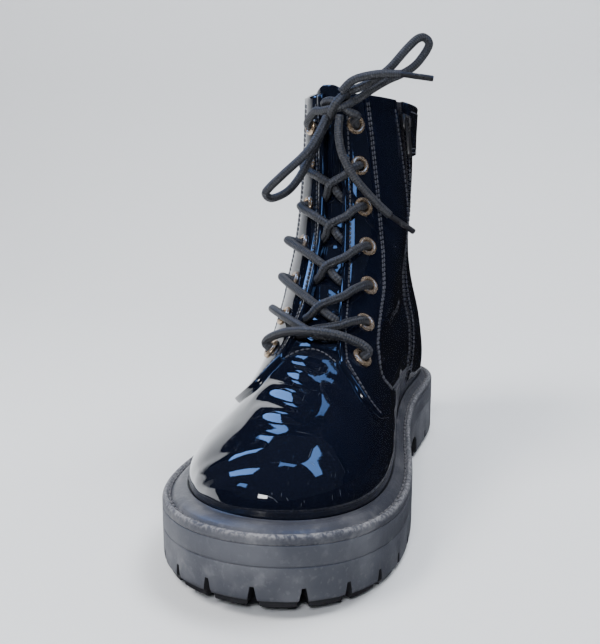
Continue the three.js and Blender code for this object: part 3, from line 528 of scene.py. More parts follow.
# Mesh helpers.
def mesh_object(name, points, faces, finish, uvs=None, smooth=True):
    mesh = bpy.data.meshes.new(name)
    mesh.from_pydata([tuple(p) for p in np.asarray(points).reshape(-1, 3)], [], faces)
    mesh.materials.append(finish)
    if uvs is not None:
        layer = mesh.uv_layers.new(name="UVMap")
        flat = np.asarray(uvs).reshape(-1, 2)
        corner = np.empty(len(mesh.loops), int)
        mesh.loops.foreach_get("vertex_index", corner)
        layer.data.foreach_set("uv", flat[corner].ravel())
    if smooth:
        mesh.polygons.foreach_set("use_smooth", [True] * len(mesh.polygons))
    mesh.validate()
    return link(bpy.data.objects.new(name, mesh))


def grid_faces(height, width, closed_rows=False, closed_columns=False, keep=None, flip=False, start=0):
    faces = []
    for j in range(height if closed_rows else height - 1):
        for i in range(width if closed_columns else width - 1):
            if keep is not None and not keep[j, i]:
                continue
            a = start + j * width + i
            b = start + j * width + (i + 1) % width
            c = start + ((j + 1) % height) * width + (i + 1) % width
            d = start + ((j + 1) % height) * width + i
            faces.append((a, d, c, b) if flip else (a, b, c, d))
    return faces


def edit_mesh(obj, change):
    """Changes an object's mesh by a function of its bmesh."""
    bm = bmesh.new()
    bm.from_mesh(obj.data)
    change(bm)
    bm.to_mesh(obj.data)
    bm.free()
    return obj


def outward(obj):
    """Makes the faces of a closed mesh point out."""
    return edit_mesh(obj, lambda bm: bmesh.ops.recalc_face_normals(bm, faces=bm.faces))


def modify(obj, kind, **settings):
    m = obj.modifiers.new(kind.lower(), kind)
    for key, value in settings.items():
        setattr(m, key, value)
    return m


def apply_modifiers(obj):
    shown = obj.evaluated_get(bpy.context.evaluated_depsgraph_get())
    obj.data = bpy.data.meshes.new_from_object(shown)
    obj.modifiers.clear()
    return obj


def smooth_by_angle(obj, degrees):
    """Shades a mesh smooth, but for the edges that bend by more than an angle."""
    obj.data.polygons.foreach_set("use_smooth", [True] * len(obj.data.polygons))
    limit = math.radians(degrees)

    def mark(bm):
        for edge in bm.edges:
            edge.smooth = len(edge.link_faces) != 2 or edge.calc_face_angle(0) < limit
    return edit_mesh(obj, mark)


def bevel(obj, width, degrees):
    modify(obj, "BEVEL", width=width * MM, segments=2, limit_method="ANGLE",
           angle_limit=math.radians(degrees))
    return apply_modifiers(obj)


def stands_for(obj, slot, *nodes, body="boot"):
    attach(obj, body)
    if nodes:
        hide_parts(*nodes)
    return obj


def moulded(name, shape, finish, degrees, slot, node, uvs=None):
    """Closed piece for a node, from points in millimetres and faces."""
    points, faces = shape
    obj = outward(mesh_object(name, to_part(points), faces, finish, uvs=uvs))
    return stands_for(smooth_by_angle(obj, degrees), slot, node)


def run_along(points, axis=0):
    """Length of the way from the first point to each, along one axis of a row or grid."""
    steps = np.linalg.norm(np.diff(points, axis=axis), axis=-1)
    return np.insert(np.cumsum(steps, axis=axis), 0, 0, axis=axis)


def at_run(s, run, values):
    """Values along a path at the length s from its start."""
    return np.stack([np.interp(s, run, values[:, k]) for k in range(3)], -1)


def smooth_path(points, step):
    """Points at even steps along the smooth curve through the points given."""
    p = np.asarray(points, float)
    ext = np.vstack([2 * p[0] - p[1], p, 2 * p[-1] - p[-2]])
    fine = []
    for i in range(1, len(ext) - 2):
        a, b, c, d = ext[i - 1:i + 3]
        for t in np.linspace(0, 1, 24, endpoint=False):
            fine.append(0.5 * (2 * b + (c - a) * t + (2 * a - 5 * b + 4 * c - d) * t ** 2
                               + (3 * b - a - 3 * c + d) * t ** 3))
    fine.append(p[-1])
    fine = np.array(fine)
    run = run_along(fine)
    count = max(int(run[-1] / step), 2) + 1
    return at_run(np.linspace(0, run[-1], count), run, fine), run[-1]


def frames_along(path):
    """Two unit vectors across the path at each point, without twist."""
    tangent = np.gradient(path, axis=0)
    tangent /= np.linalg.norm(tangent, axis=1, keepdims=True)
    first = np.cross(tangent[0], (0.3, 0.2, 1.0))
    side = [first / np.linalg.norm(first)]
    for t in tangent[1:]:
        s = side[-1] - t * (side[-1] @ t)
        side.append(s / np.linalg.norm(s))
    side = np.array(side)
    return side, np.cross(tangent, side)


BRAID_LENGTH, BRAID_TURNS = 2.2, 3


def circle(sides):
    return np.linspace(0, 2 * np.pi, sides, endpoint=False)


def uv_grid(across, up):
    return np.stack(np.broadcast_arrays(across, up), -1).reshape(-1, 2)


def tube(path, radius, sides):
    """Points, faces and UVs of a closed tube in millimetres. UVs count repeats of the braid."""
    a, b = frames_along(path)
    radius = np.broadcast_to(np.asarray(radius, float), len(path))
    angle = circle(sides)
    ring = np.cos(angle)[None, :, None] * a[:, None] + np.sin(angle)[None, :, None] * b[:, None]
    points = (path[:, None] + ring * radius[:, None, None]).reshape(-1, 3)
    uvs = uv_grid(run_along(path)[:, None] / BRAID_LENGTH, angle[None] / (2 * np.pi) * BRAID_TURNS)
    faces = grid_faces(len(path), sides, closed_columns=True)
    end = (len(path) - 1) * sides
    faces += [tuple(range(sides))[::-1], tuple(range(end, end + sides))]
    return points, faces, uvs


def joined(parts):
    """Joins lists of points, faces and UVs into one of each."""
    points, faces, uvs, start = [], [], [], 0
    for p, f, t in parts:
        points.append(p)
        uvs.append(t)
        faces += [tuple(i + start for i in face) for face in f]
        start += len(p)
    return np.concatenate(points), faces, np.concatenate(uvs)


# Sole.
SOLE_COLUMNS = np.linspace(0, 2, 288, endpoint=False)


def level_ring(inset, height, columns=SOLE_COLUMNS):
    ring = sole_edge(columns, inset)
    ring[..., 2] = height(ring[..., 1])
    return ring


def level_rings(profile, base):
    """Rings from pairs of an inset and a height over base, a function of the length ahead."""
    return [level_ring(i, lambda a, h=h: base(a) + h) for i, h in profile]


def capped(rings):
    """Solid through rings, closed across at its two ends by strips."""
    count = len(rings[0])
    faces = grid_faces(len(rings), count, closed_columns=True)
    top = (len(rings) - 1) * count
    for i in range(count // 2):
        a, b, c, d = i, i + 1, (count - i) % count, count - i - 1
        for base, turn in ((0, 1), (top, -1)):
            corners = [base + k for k in dict.fromkeys((a, b, d, c))]
            if len(corners) > 2:
                faces.append(tuple(corners[::turn]))
    return np.concatenate(rings), faces


def smooth_profile(knots, count):
    """Even points on the smooth curve through (inset, height) knots."""
    path, _ = smooth_path([(a, b, 0) for a, b in knots], 0.01)
    pick = np.linspace(0, len(path) - 1, count).astype(int)
    return path[pick][:, :2]


def sole_top(ahead):
    return seat_height(ahead) - MIDSOLE - 2 * GAP


def box_cutter(points):
    """Closed six-sided cutter from its eight corners, bottom four and then top four."""
    return points, [(0, 3, 2, 1), (4, 5, 6, 7), (0, 1, 5, 4), (1, 2, 6, 5), (2, 3, 7, 6), (3, 0, 4, 7)]


def notch_places():
    fine = np.linspace(0, 2, 4001)
    edge = sole_edge(fine, 0.0)
    run = run_along(edge)
    total = run[-1]
    ahead_at = lambda s: np.interp(s % total, run, edge[:, 1])
    back = np.interp(1.0, fine, run)
    places = [NOTCH_PHASE, back]
    for start, inside in ((NOTCH_PHASE, lambda a: a > HEEL_LENGTH + ARCH_LENGTH + NOTCH_PITCH / 2),
                          (back, lambda a: a < HEEL_LENGTH - NOTCH_PITCH / 2)):
        for way in (1, -1):
            k = 1
            while inside(ahead_at(start + way * k * NOTCH_PITCH)):
                places.append(start + way * k * NOTCH_PITCH)
                k += 1
    return [float(np.interp(s % total, run, fine)) for s in places]


def notch_cutter(u):
    outer, inner = sole_edge(u, -3.0), sole_edge(u, NOTCH_DEPTH)
    inward = (inner - outer) / np.linalg.norm(inner - outer)
    across = np.array([inward[1], -inward[0], 0])
    low = float(tread_height(outer[1]))
    corners = []
    for z, half in ((-1.2, 2.5), (NOTCH_HEIGHT, 0.8)):
        for end, sign in ((outer, -1), (outer, 1), (inner, 1), (inner, -1)):
            corners.append(end + across * sign * half + (0, 0, low + z))
    return box_cutter(np.array(corners))


def slot_cutter(ahead):
    u = float(round_at(0.0, ahead))
    right, left = sole_edge(u, 17.0)[0], sole_edge(-u, 17.0)[0]
    low = float(tread_height(ahead))
    half = CHANNEL_WIDTH / 2
    corners = [(x, ahead + a, low + z) for z in (-1.0, TREAD_DEPTH)
               for x, a in ((left, -half), (right, -half), (right, half), (left, half))]
    return box_cutter(np.array(corners))


def arch_cutter():
    end = HEEL_LENGTH + ARCH_LENGTH
    profile = [(HEEL_LENGTH - 1, -1), (HEEL_LENGTH + 1.5, 0.7 * ARCH_HEIGHT)]
    for t in np.linspace(0.15, 1, 6):
        profile.append((HEEL_LENGTH + 1.5 + t * (0.25 * ARCH_LENGTH - 1.5),
                        ARCH_HEIGHT * (0.7 + 0.3 * (1 - (1 - t) ** 2))))
    for t in np.linspace(0, 1, 7):
        profile.append((end - 0.35 * ARCH_LENGTH * (1 - t ** 0.8),
                        ARCH_HEIGHT - (ARCH_HEIGHT + 1) * t ** 2.4))
    count = len(profile)
    points = [(x, a, z) for x in (-BALL_WIDTH, BALL_WIDTH) for a, z in profile]
    faces = [(i, (i + 1) % count, count + (i + 1) % count, count + i) for i in range(count)]
    faces += [tuple(range(count))[::-1], tuple(range(count, 2 * count))]
    return np.array(points, float), faces


def channel_cutter():
    columns = np.linspace(0, 2, 96, endpoint=False)
    outer, inner = CHANNEL_INSET, CHANNEL_INSET + CHANNEL_WIDTH
    low = lambda a: tread_height(a) - 1
    high = lambda a: tread_height(a) + TREAD_DEPTH
    rings = [level_ring(outer, low, columns), level_ring(outer, high, columns),
             level_ring(inner, high, columns), level_ring(inner, low, columns)]
    return np.concatenate(rings), grid_faces(4, 96, closed_rows=True, closed_columns=True)


def carve(target, cutters):
    for k, (points, faces) in enumerate(cutters):
        tool = outward(mesh_object(f"cutter_{k}", to_part(points), faces, SOLE, smooth=False))
        modify(target, "BOOLEAN", operation="DIFFERENCE", object=tool, solver="EXACT")
        apply_modifiers(target)
        bpy.data.objects.remove(tool)
    return target


def merged_cutter(cutters):
    return joined([(p, f, np.zeros((len(p), 2))) for p, f in cutters])[:2]


SIDE_PROFILE = ((2.1, 0), (1.9, 0.5), (1.9, 2.3), (0.8, 2.45), (0.35, 2.9), (0.1, 4.5))
TOP_PROFILE = ((0, -0.3), (0.3, 0.15))
points, faces = capped(level_rings(SIDE_PROFILE, tread_height) + level_rings(TOP_PROFILE, sole_top))
# Heights over the tread, which place the painted shade on the rubber's foot. The top rings are far above it.
ring_heights = [h for _, h in SIDE_PROFILE] + [20.0, 20.0]
outsole_uvs = uv_grid(0.0, np.repeat(ring_heights, len(SOLE_COLUMNS)))
outsole = outward(mesh_object("outsole_lugs", to_part(points), faces, SOLE, uvs=outsole_uvs, smooth=False))
SLOT_MARGIN = 9.5
slots = [slot_cutter(k * TREAD_PITCH) for k in range(1, 13)
         if not HEEL_LENGTH - SLOT_MARGIN < k * TREAD_PITCH < HEEL_LENGTH + ARCH_LENGTH + SLOT_MARGIN]
carve(outsole, [arch_cutter(), channel_cutter(), merged_cutter(slots),
                merged_cutter([notch_cutter(u) for u in notch_places()])])
stands_for(smooth_by_angle(bevel(outsole, 0.5, 35), 40), "outsole_rubber", "outsole")

MIDSOLE_PROFILE = ((0.55, -0.1), (0.15, 0.05), (0, 0.4), (0, MIDSOLE - 0.35), (0.12, MIDSOLE),
                   (0.4, MIDSOLE + 0.15))
moulded("midsole_band", capped(level_rings(MIDSOLE_PROFILE, lambda a: seat_height(a) - GAP - MIDSOLE)),
        BAND, 50, "midsole_rubber", "midsole")

# Welt: rolled edge, stitched groove and a shiny roll beside the upper.
WELT_PROFILE = ((0.45, -0.1), (0.12, 0.2), (0.0, 1.1), (0.05, 2.0), (0.4, 3.0), (1.05, 3.7),
                (1.75, 3.8), (2.4, 3.3), (2.9, 2.5), (3.4, 2.5), (4.1, 3.3), (5.0, 4.3))
welt_profile = smooth_profile(WELT_PROFILE, 26)
welt_rings = level_rings(welt_profile, seat_height)
STORM = STORM_HEIGHT / (FOOT_ROWS[1][3] * INSTEP) / LAST
STORM_OUT, STORM_IN = 1.5, 0.25
storm_top = skin(SOLE_COLUMNS, STORM, STORM_OUT)
storm_in = skin(SOLE_COLUMNS, STORM, STORM_IN)
welt_rings += [welt_rings[-1] * (1 - t) + storm_top * t + (0, 0, 0.5) for t in (0.35, 0.7)]
welt_rings += [storm_top, (storm_top + storm_in) / 2 + (0, 0, 0.35), storm_in,
               skin(SOLE_COLUMNS, 0.0, STORM_IN)]
# UV.x is the distance from the welt's edge, which the dust's ring reads.
insets = [i for i, _ in welt_profile] + [6.0, 6.8, 7.4, 8, 8.5, 8.5]
welt_uvs = uv_grid(np.array(insets)[:, None], SOLE_COLUMNS[None])
welt_faces = grid_faces(len(welt_rings), len(SOLE_COLUMNS), closed_rows=True, closed_columns=True)
moulded("welt_strip", (np.concatenate(welt_rings), welt_faces), WELTING, 55, "welt_rubber", "welt", welt_uvs)

insole_u = np.linspace(0, 2, 120, endpoint=False)


def insole_ring(inset, height):
    ring = skin(insole_u, 0.0, -WALL - 0.4 - inset)
    ring[..., 2] = seat_height(ring[..., 1]) + height
    return ring


insole = capped([insole_ring(0, 0.2), insole_ring(0, 3.2), insole_ring(0.8, INSOLE)])
moulded("insole_sock", insole, LINING, 50, "insole_cloth", "insole")

# Creases of the upper.
# Each crease runs between two places on the upper (u, v), with a depth and a half width in mm.
CREASES = [
    (-0.13, 0.395, 0.006, 0.388, 0.55, 3.2), (-0.14, 0.338, 0.004, 0.332, 0.7, 3.6),
    (-0.07, 0.437, 0.02, 0.43, 0.35, 2.4), (-0.10, 0.285, -0.01, 0.288, 0.35, 3.2),
    (0.05, 0.42, 0.18, 0.30, 0.5, 4.2),
    (0.022, 0.45, 0.035, 0.24, 0.3, 3.4),
    (-0.145, 0.08, -0.02, 0.185, 0.95, 3.0), (0.0, 0.225, 0.09, 0.205, 0.3, 3.4),
    (0.32, 0.34, 0.52, 0.29, 0.5, 4.0), (0.34, 0.43, 0.56, 0.40, 0.6, 4.5),
    (-0.40, 0.33, -0.56, 0.29, 0.6, 4.0), (-0.38, 0.43, -0.6, 0.40, 0.7, 4.5),
    (-0.42, 0.52, -0.68, 0.47, 0.6, 5.0),
    (0.8, 0.42, 1.2, 0.42, 0.6, 6.0), (-0.52, 0.62, -0.62, 0.78, 0.5, 6.0),
]
# Long low waves: a direction in turns per mm, and a height in mm.
SWELLS = ((0.033, 0.011, 0.027, 0.06), (0.013, 0.041, -0.019, 0.06))


def crease(p):
    """Height of the worn upper's soft troughs and ridges over its smooth form, in mm."""
    height = np.zeros(p.shape[:-1])
    for u0, v0, u1, v1, depth, wide in CREASES:
        a, b = last_point(u0, v0), last_point(u1, v1)
        line = b - a
        t = np.clip(((p - a) @ line) / (line @ line), 0, 1)
        d = np.linalg.norm(p - (a + t[..., None] * line), axis=-1) / wide
        fade = 1 - (2 * t - 1) ** 4 * 0.6
        height += fade * depth * (0.75 * np.exp(-((d - 1.9) ** 2)) - np.exp(-d ** 2))
    for a, b, c, size in SWELLS:
        height += size * np.sin(2 * np.pi * (p @ np.array([a, b, c])))
    return height


def worn(u, v, off):
    """Point at a distance outside the creased upper."""
    base, n = last_point(u, v), last_normal(u, v)
    v = np.broadcast_to(v, base.shape[:-1])
    calm = np.clip((v - 0.05) / 0.05, 0, 1) * np.clip((1.0 - v) / 0.08, 0.25, 1)
    return base + n * (off + crease(base) * calm)[..., None]


# Upper.
def patch(start, end, v, shares):
    """Grid of places between two edges on the upper, with a row for each v."""
    u = start[:, None] + (end - start)[:, None] * shares[None]
    return u, np.broadcast_to(v[:, None], u.shape)


def hole_mask(u, v):
    """True for the cells of a grid that no eyelet goes through."""
    centre = last_point((u[:-1, :-1] + u[1:, 1:]) / 2, (v[:-1, :-1] + v[1:, 1:]) / 2)
    keep = np.ones(centre.shape[:-1], bool)
    for side in (1, -1):
        for i in range(EYELETS):
            keep &= np.linalg.norm(centre - last_point(*eyelet_place(side, i)), axis=-1) > HOLE_R
    return keep


levels = np.unique(np.concatenate([
    np.linspace(0, ZIP_FOOT, 9), np.linspace(ZIP_FOOT, THROAT, 62), np.linspace(THROAT, 1, 78)]))
throat_half = facing_edge(np.maximum(levels, THROAT)) + 0.006
zip_front = round_at(levels, ZIP_AHEAD + ZIP_SLOT / 2)
zip_back = round_at(levels, ZIP_AHEAD - ZIP_SLOT / 2)
THROAT_CELLS, FRONT_CELLS, ZIP_CELLS, REAR_CELLS = 12, 76, 6, 150
spans = [(LACE_CENTRE - throat_half, LACE_CENTRE + throat_half, THROAT_CELLS),
         (LACE_CENTRE + throat_half, zip_front, FRONT_CELLS), (zip_front, zip_back, ZIP_CELLS),
         (zip_back, 2 + LACE_CENTRE - throat_half, REAR_CELLS)]
u_grid = np.concatenate([a[:, None] + (b - a)[:, None] * (np.arange(n) / n)[None] for a, b, n in spans], 1)
v_grid = np.broadcast_to(levels[:, None], u_grid.shape)
closed_u = np.concatenate([u_grid, u_grid[:, :1] + 2], 1)
closed_v = np.broadcast_to(levels[:, None], closed_u.shape)
keep = hole_mask(closed_u, closed_v)
rise = (levels[:-1] + levels[1:]) / 2
keep[rise > THROAT, :THROAT_CELLS] = False
zip_start = THROAT_CELLS + FRONT_CELLS
keep[rise > ZIP_FOOT, zip_start:zip_start + ZIP_CELLS] = False
upper = mesh_object("upper_shell", to_part(worn(u_grid, v_grid, 0.0)),
                    grid_faces(*u_grid.shape, closed_columns=True, keep=keep), PATENT)
edit_mesh(upper, lambda bm: bmesh.ops.delete(
    bm, geom=[p for p in bm.verts if not p.link_faces], context="VERTS"))
upper.data.materials.append(LINING)
modify(upper, "SOLIDIFY", thickness=WALL * MM, offset=-1, material_offset=1, use_even_offset=False)
apply_modifiers(upper)
stands_for(smooth_by_angle(upper, 60), "patent_leather", "upper")


def slab(name, u, v, top, bottom, finish, keep=None, surface=worn):
    """Closed slab over a grid of places, from bottom to top outside the creased upper."""
    height, width = u.shape
    high, low = surface(u, v, top), surface(u, v, bottom)
    points = np.concatenate([high.reshape(-1, 3), low.reshape(-1, 3)])
    faces = grid_faces(height, width, keep=keep)
    faces += grid_faces(height, width, keep=keep, flip=True, start=height * width)
    rim = ([(j, 0) for j in range(height)] + [(height - 1, i) for i in range(1, width)]
           + [(j, width - 1) for j in range(height - 2, -1, -1)] + [(0, i) for i in range(width - 2, 0, -1)])
    index = [j * width + i for j, i in rim]
    shift = height * width
    for a, b in zip(index, index[1:] + index[:1]):
        faces.append((a, b, shift + b, shift + a))
    uvs = np.stack([u * 45, v * 60], -1).reshape(-1, 2)
    obj = mesh_object(name, to_part(points), faces, finish, uvs=np.concatenate([uvs, uvs]))
    return smooth_by_angle(outward(obj), 60)


def rounded(distance, radius):
    """0 at an edge, rising on a quarter circle to 1 at radius from it."""
    t = np.clip(distance / radius, 0, 1)
    return np.sqrt(1 - (1 - t) ** 2)


def from_edges(u, v):
    """Distances in mm of each grid place from the grid's first and last column and row."""
    p = last_point(u, v)
    across, up = run_along(p, 1), run_along(p, 0)
    return across, across[:, -1:] - across, up, up[-1:] - up


def pillow(edges, radii):
    """0 on the border of a grid and 1 inside, with edges rounded to radii in mm."""
    return np.minimum.reduce([rounded(d, r) for d, r in zip(edges, radii)])


def ridge(distance, at, wide=0.7):
    """1 at one distance from an edge, falling to 0 on both sides of it."""
    return np.exp(-((distance - at) / wide) ** 2)


def ease_ends(count, sharp=0.06):
    """Shares from 0 to 1, closer together at both ends."""
    t = np.linspace(0, 1, count)
    return t - (0.5 - sharp) * np.sin(2 * np.pi * t) / np.pi


for side, name in ((1, "medial"), (-1, "lateral")):
    v = np.linspace(FACING_FOOT, FACING_HEAD, 150)
    edge, seam = LACE_CENTRE + side * facing_edge(v), LACE_CENTRE + side * facing_seam(v)
    u, vv = patch(edge, seam, v, ease_ends(34))
    edges = from_edges(u, vv)
    front, rear = edges[:2]
    top = 0.05 + (FACING - 0.05) * pillow(edges, (1.2, 0.9, 0.9, 1.0)) + 0.55 * ridge(front, 1.3, 0.9)
    dips = 0.22 * (ridge(rear, 2.0) + ridge(rear, 4.4) + ridge(front, 3.6))
    facing = slab(f"facing_{name}", u, vv, top - dips, UNDERSIDE, PATENT, hole_mask(u, vv))
    stands_for(facing, "patent_leather", f"eyestay_{name}")

# Rear collar panel.
COLLAR_HEIGHT, COLLAR_END = 24, 2 - 0.56
v = np.linspace(1 - COLLAR_HEIGHT / SHAFT_RISE * 5 / LAST, FACING_HEAD, 44)
u, vv = patch(round_at(v, ZIP_AHEAD - ZIP_SLOT / 2 - 2), np.full(len(v), COLLAR_END), v, ease_ends(110, 0.25))
edges = from_edges(u, vv)
dips = 0.25 * (ridge(edges[2], 2.2) + ridge(edges[3], 3.2))
collar = slab("collar_panel", u, vv, 0.05 + 1.9 * pillow(edges, (1, 1, 0.9, 1.6)) - dips, UNDERSIDE, PATENT)
stands_for(collar, "patent_leather", "rear_collar")

# Tongue.
v = 0.43 + (TONGUE_TOP - 0.43) * (1 - (1 - np.linspace(0, 1, 96)) ** 1.3)
crown = 0.05
narrow = np.sqrt(np.clip(1 - (np.maximum(v - TONGUE_TOP + crown, 0) / (crown + 0.001)) ** 2, 0.02, 1))
lean = TONGUE_LEAN * np.clip((v - 0.85) / (TONGUE_TOP - 0.85), 0, 1)
u = (LACE_CENTRE - lean)[:, None] + TONGUE_HALF * narrow[:, None] * np.linspace(-1, 1, 41)[None]
vv = np.broadcast_to(v[:, None], u.shape)
left, right, _, head = from_edges(u, vv)
pad = pillow((left, right, head), (2.0, 2.0, 2.0))
waves = 0.5 * np.sin(vv * 105 + 7 * u) + 0.3 * np.sin(vv * 61 - 9 * u + 1)
waves = waves * np.clip((0.84 - vv) * 5, 0, 1)
HALF_TONGUE = 1.5
tongue = slab("tongue_pad", u, vv, TONGUE_OFF - HALF_TONGUE + HALF_TONGUE * pad + waves,
              TONGUE_OFF - HALF_TONGUE - HALF_TONGUE * pad, PATENT, surface=skin)
stands_for(tongue, "patent_leather", "tongue")

# Stitching.
stitches = []


STITCH_PITCH, STITCH_LENGTH, STITCH_WIDE = 2.4, 1.95, 0.47


def bead_row(path, normals, margin, pitch, length, wide, near):
    """Adds beads at even steps along a path. near is half the length that gives the direction."""
    run = run_along(path)
    for s in np.arange(margin, run[-1] - margin, pitch):
        way = at_run(s + near, run, path) - at_run(s - near, run, path)
        bead(at_run(s, run, path), way, at_run(s, run, normals), length, wide)


def stitch_row(u, v, off):
    """Adds a row of stitches along places on the upper, each a small flattened bead of thread."""
    bead_row(worn(u, v, off), last_normal(u, v), STITCH_PITCH / 2, STITCH_PITCH, STITCH_LENGTH,
             STITCH_WIDE, 0.2)


BEAD_RINGS = ((-0.5, 0.25), (-0.38, 0.8), (0, 1), (0.38, 0.8), (0.5, 0.25))
BEAD_SIDES = 6


def bead(centre, along, normal, length, wide):
    along = along / np.linalg.norm(along)
    normal = normal - along * (normal @ along)
    normal = normal / np.linalg.norm(normal)
    across = np.cross(along, normal)
    points = [centre + along * length * s + wide * r * (np.cos(a) * across + 0.8 * np.sin(a) * normal)
              for s, r in BEAD_RINGS for a in circle(BEAD_SIDES)]
    faces = grid_faces(len(BEAD_RINGS), BEAD_SIDES, closed_columns=True)
    faces += [tuple(range(BEAD_SIDES))[::-1], tuple(range(4 * BEAD_SIDES, 5 * BEAD_SIDES))]
    stitches.append((np.array(points), faces, np.zeros((len(points), 2))))


def take_stitches(name, slot, finish, *nodes):
    """Makes one piece of the beads added since the last one."""
    points, faces, _ = joined(stitches)
    stitches.clear()
    return stands_for(mesh_object(name, to_part(points), faces, finish), slot, *nodes)


def inward_from(u, v, distance, toward):
    """Places moved round the upper by a distance in mm towards +1 or -1."""
    scale = np.linalg.norm(last_point(u + 0.01, v) - last_point(u, v), axis=-1) / 0.01
    return u + toward * distance / scale


for side in (1, -1):
    v = np.linspace(0.25, SEAM_HEAD, 220)
    edge, seam = LACE_CENTRE + side * facing_edge(v), LACE_CENTRE + side * facing_seam(v)
    stitch_row(inward_from(edge, v, 3.6, side), v, FACING - 0.05)
    for distance in (2.2, 3.7):
        stitch_row(inward_from(seam, v, distance, -side), v, FACING - 0.1)
SEAM_OFF = 0.12
v = np.linspace(0.09, SEAM_HEAD, 220)
for beside in (7.6, -7.6):
    stitch_row(round_at(v, ZIP_AHEAD + beside), v, SEAM_OFF)
panel_u = np.linspace(float(round_at(0.9, ZIP_AHEAD - 8)), 1.42, 200)
for place, off in ((0.869, 1.75), (0.88, 1.75), (0.975, 1.8)):
    stitch_row(panel_u, np.full(200, place), off)
# Seam from the medial facing's corner to the foot of the zip, and its lateral counterpart.
for side, zip_end in ((1, 0.66), (-1, -0.6)):
    t = np.linspace(0, 1, 120)
    corner = LACE_CENTRE + side * 0.44
    for shift in (0.0, 0.011):
        stitch_row(corner + (zip_end - corner) * t, 0.222 - 0.115 * t + shift, SEAM_OFF)
# Vamp's edge over the throat.
arc = np.linspace(-1, 1, 60)
stitch_row(LACE_CENTRE + arc * 0.11, THROAT - 0.012 - 0.035 * arc ** 2, 0.15)
take_stitches("upper_stitches", "patent_leather", THREAD)

WELT_SEAM_INSET, WELT_SEAM_HEIGHT = 3.1, 2.85
seam = sole_edge(np.linspace(0, 2, 900), WELT_SEAM_INSET)
seam[:, 2] = seat_height(seam[:, 1]) + WELT_SEAM_HEIGHT
bead_row(seam, np.tile((0, 0, 1.0), (900, 1)), 2.5, 4.6, 3.7, 0.75, 0.3)
take_stitches("welt_stitches", "welt_rubber", WAXED)


# Eyelets.
EYELET_SIDES = 32
# Radius and height over the facing.
EYELET_PROFILE = ((2.6, -3.6), (2.6, -1.5), (2.6, 0.5), (2.75, 1.0), (3.15, 1.32), (3.7, 1.35),
                  (4.25, 1.1), (4.65, 0.6), (4.75, 0.15), (4.6, 0.0), (3.1, 0.0), (3.1, -3.6))


def eyelet(side, i):
    u, v = eyelet_place(side, i)
    n = last_normal(u, v)
    base = last_point(u, v) + n * FACING
    up = last_point(u, v + PROBE) - last_point(u, v)
    up = up - n * (up @ n)
    up /= np.linalg.norm(up)
    across = np.cross(up, n)
    points = [base + n * z + r * (np.cos(a) * across + np.sin(a) * up)
              for r, z in EYELET_PROFILE for a in circle(EYELET_SIDES)]
    faces = grid_faces(len(EYELET_PROFILE), EYELET_SIDES, closed_rows=True, closed_columns=True)
    return np.array(points), faces


for side, name in ((1, "medial"), (-1, "lateral")):
    for i in range(EYELETS):
        points, faces = eyelet(side, i)
        ring = outward(mesh_object(f"eyelet_ring_{name}_{i + 1}", to_part(points), faces, GOLD))
        stands_for(ring, "eyelet_metal", f"eyelet_{name}_{i + 1}")

# Zip.
TAPE_TOP, TAPE_BOTTOM = -0.9, -1.9
v = np.concatenate([[ZIP_FOOT + 0.002], np.linspace(0.09, SEAM_HEAD, 100), [0.998]])
half = (ZIP_SLOT - 0.5) / 2
u, vv = patch(round_at(v, ZIP_AHEAD + half), round_at(v, ZIP_AHEAD - half), v, np.linspace(0, 1, 9))
tape = slab("zip_tape_weave", u, vv, TAPE_TOP, TAPE_BOTTOM, TAPE)
stands_for(tape, "zip_webbing", "zip_tape")

# The closed coil: short beads across the line, by turns to one side and the other.
TOOTH_PITCH, TOOTH_ASIDE, TOOTH_LENGTH, TOOTH_WIDE = 1.25, 0.75, 2.9, 0.5
line_v = np.linspace(ZIP_FOOT + 0.012, SEAM_HEAD, 400)
line_u = round_at(line_v, ZIP_AHEAD)
line, normals = worn(line_u, line_v, -0.15), last_normal(line_u, line_v)
run = run_along(line)
for k, s in enumerate(np.arange(0, run[-1], TOOTH_PITCH)):
    at, n = at_run(s, run, line), at_run(s, run, normals)
    across = np.cross(at_run(s + 0.3, run, line) - at, n)
    across = across / np.linalg.norm(across)
    bead(at + across * (TOOTH_ASIDE if k % 2 else -TOOTH_ASIDE), across, n, TOOTH_LENGTH, TOOTH_WIDE)
take_stitches("zip_coil", "zip_coil", ENAMEL, "zip_chain")


def softened(node, name, slot, body):
    """Copy of a hard CAD node with its edges rounded."""
    copy = link(bpy.data.objects.new(name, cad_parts[node].data.copy()))
    copy.data.materials.clear()
    copy.data.materials.append(ENAMEL)

    def clean(bm):
        bmesh.ops.remove_doubles(bm, verts=bm.verts, dist=0.01 * MM)
        bmesh.ops.dissolve_limit(bm, angle_limit=math.radians(2), verts=bm.verts, edges=bm.edges)
    bevel(edit_mesh(copy, clean), 0.22, 30)
    return stands_for(smooth_by_angle(copy, 45), slot, node, body=body)


softened("zip_slider", "zip_slider_body", "zip_metal", "boot")
softened("zip_pull", "zip_pull_tab", "zip_metal", "pull")

# Lace.
OVER_EYELET = FACING + 1.35 + LACE_R + 0.1
OVER_FACING = FACING + LACE_R + 0.2
STEP = 0.8
SIDES = 14
DROPS = (0.72, 0.72, 0.72, 0.72, 0.17)
# How far each strand stands off where it turns over its eyelet, in mm: medial and lateral.
SLACK = ((0.0, 0.4), (0.0, 0.4), (0.0, 3.8), (0.0, 2.4), (0.2, 2.6))


def lace_piece(name, node, tubes):
    points, faces, uvs = joined(tubes)
    return stands_for(mesh_object(name, to_part(points), faces, LACE, uvs=uvs), "lace_cotton", node)


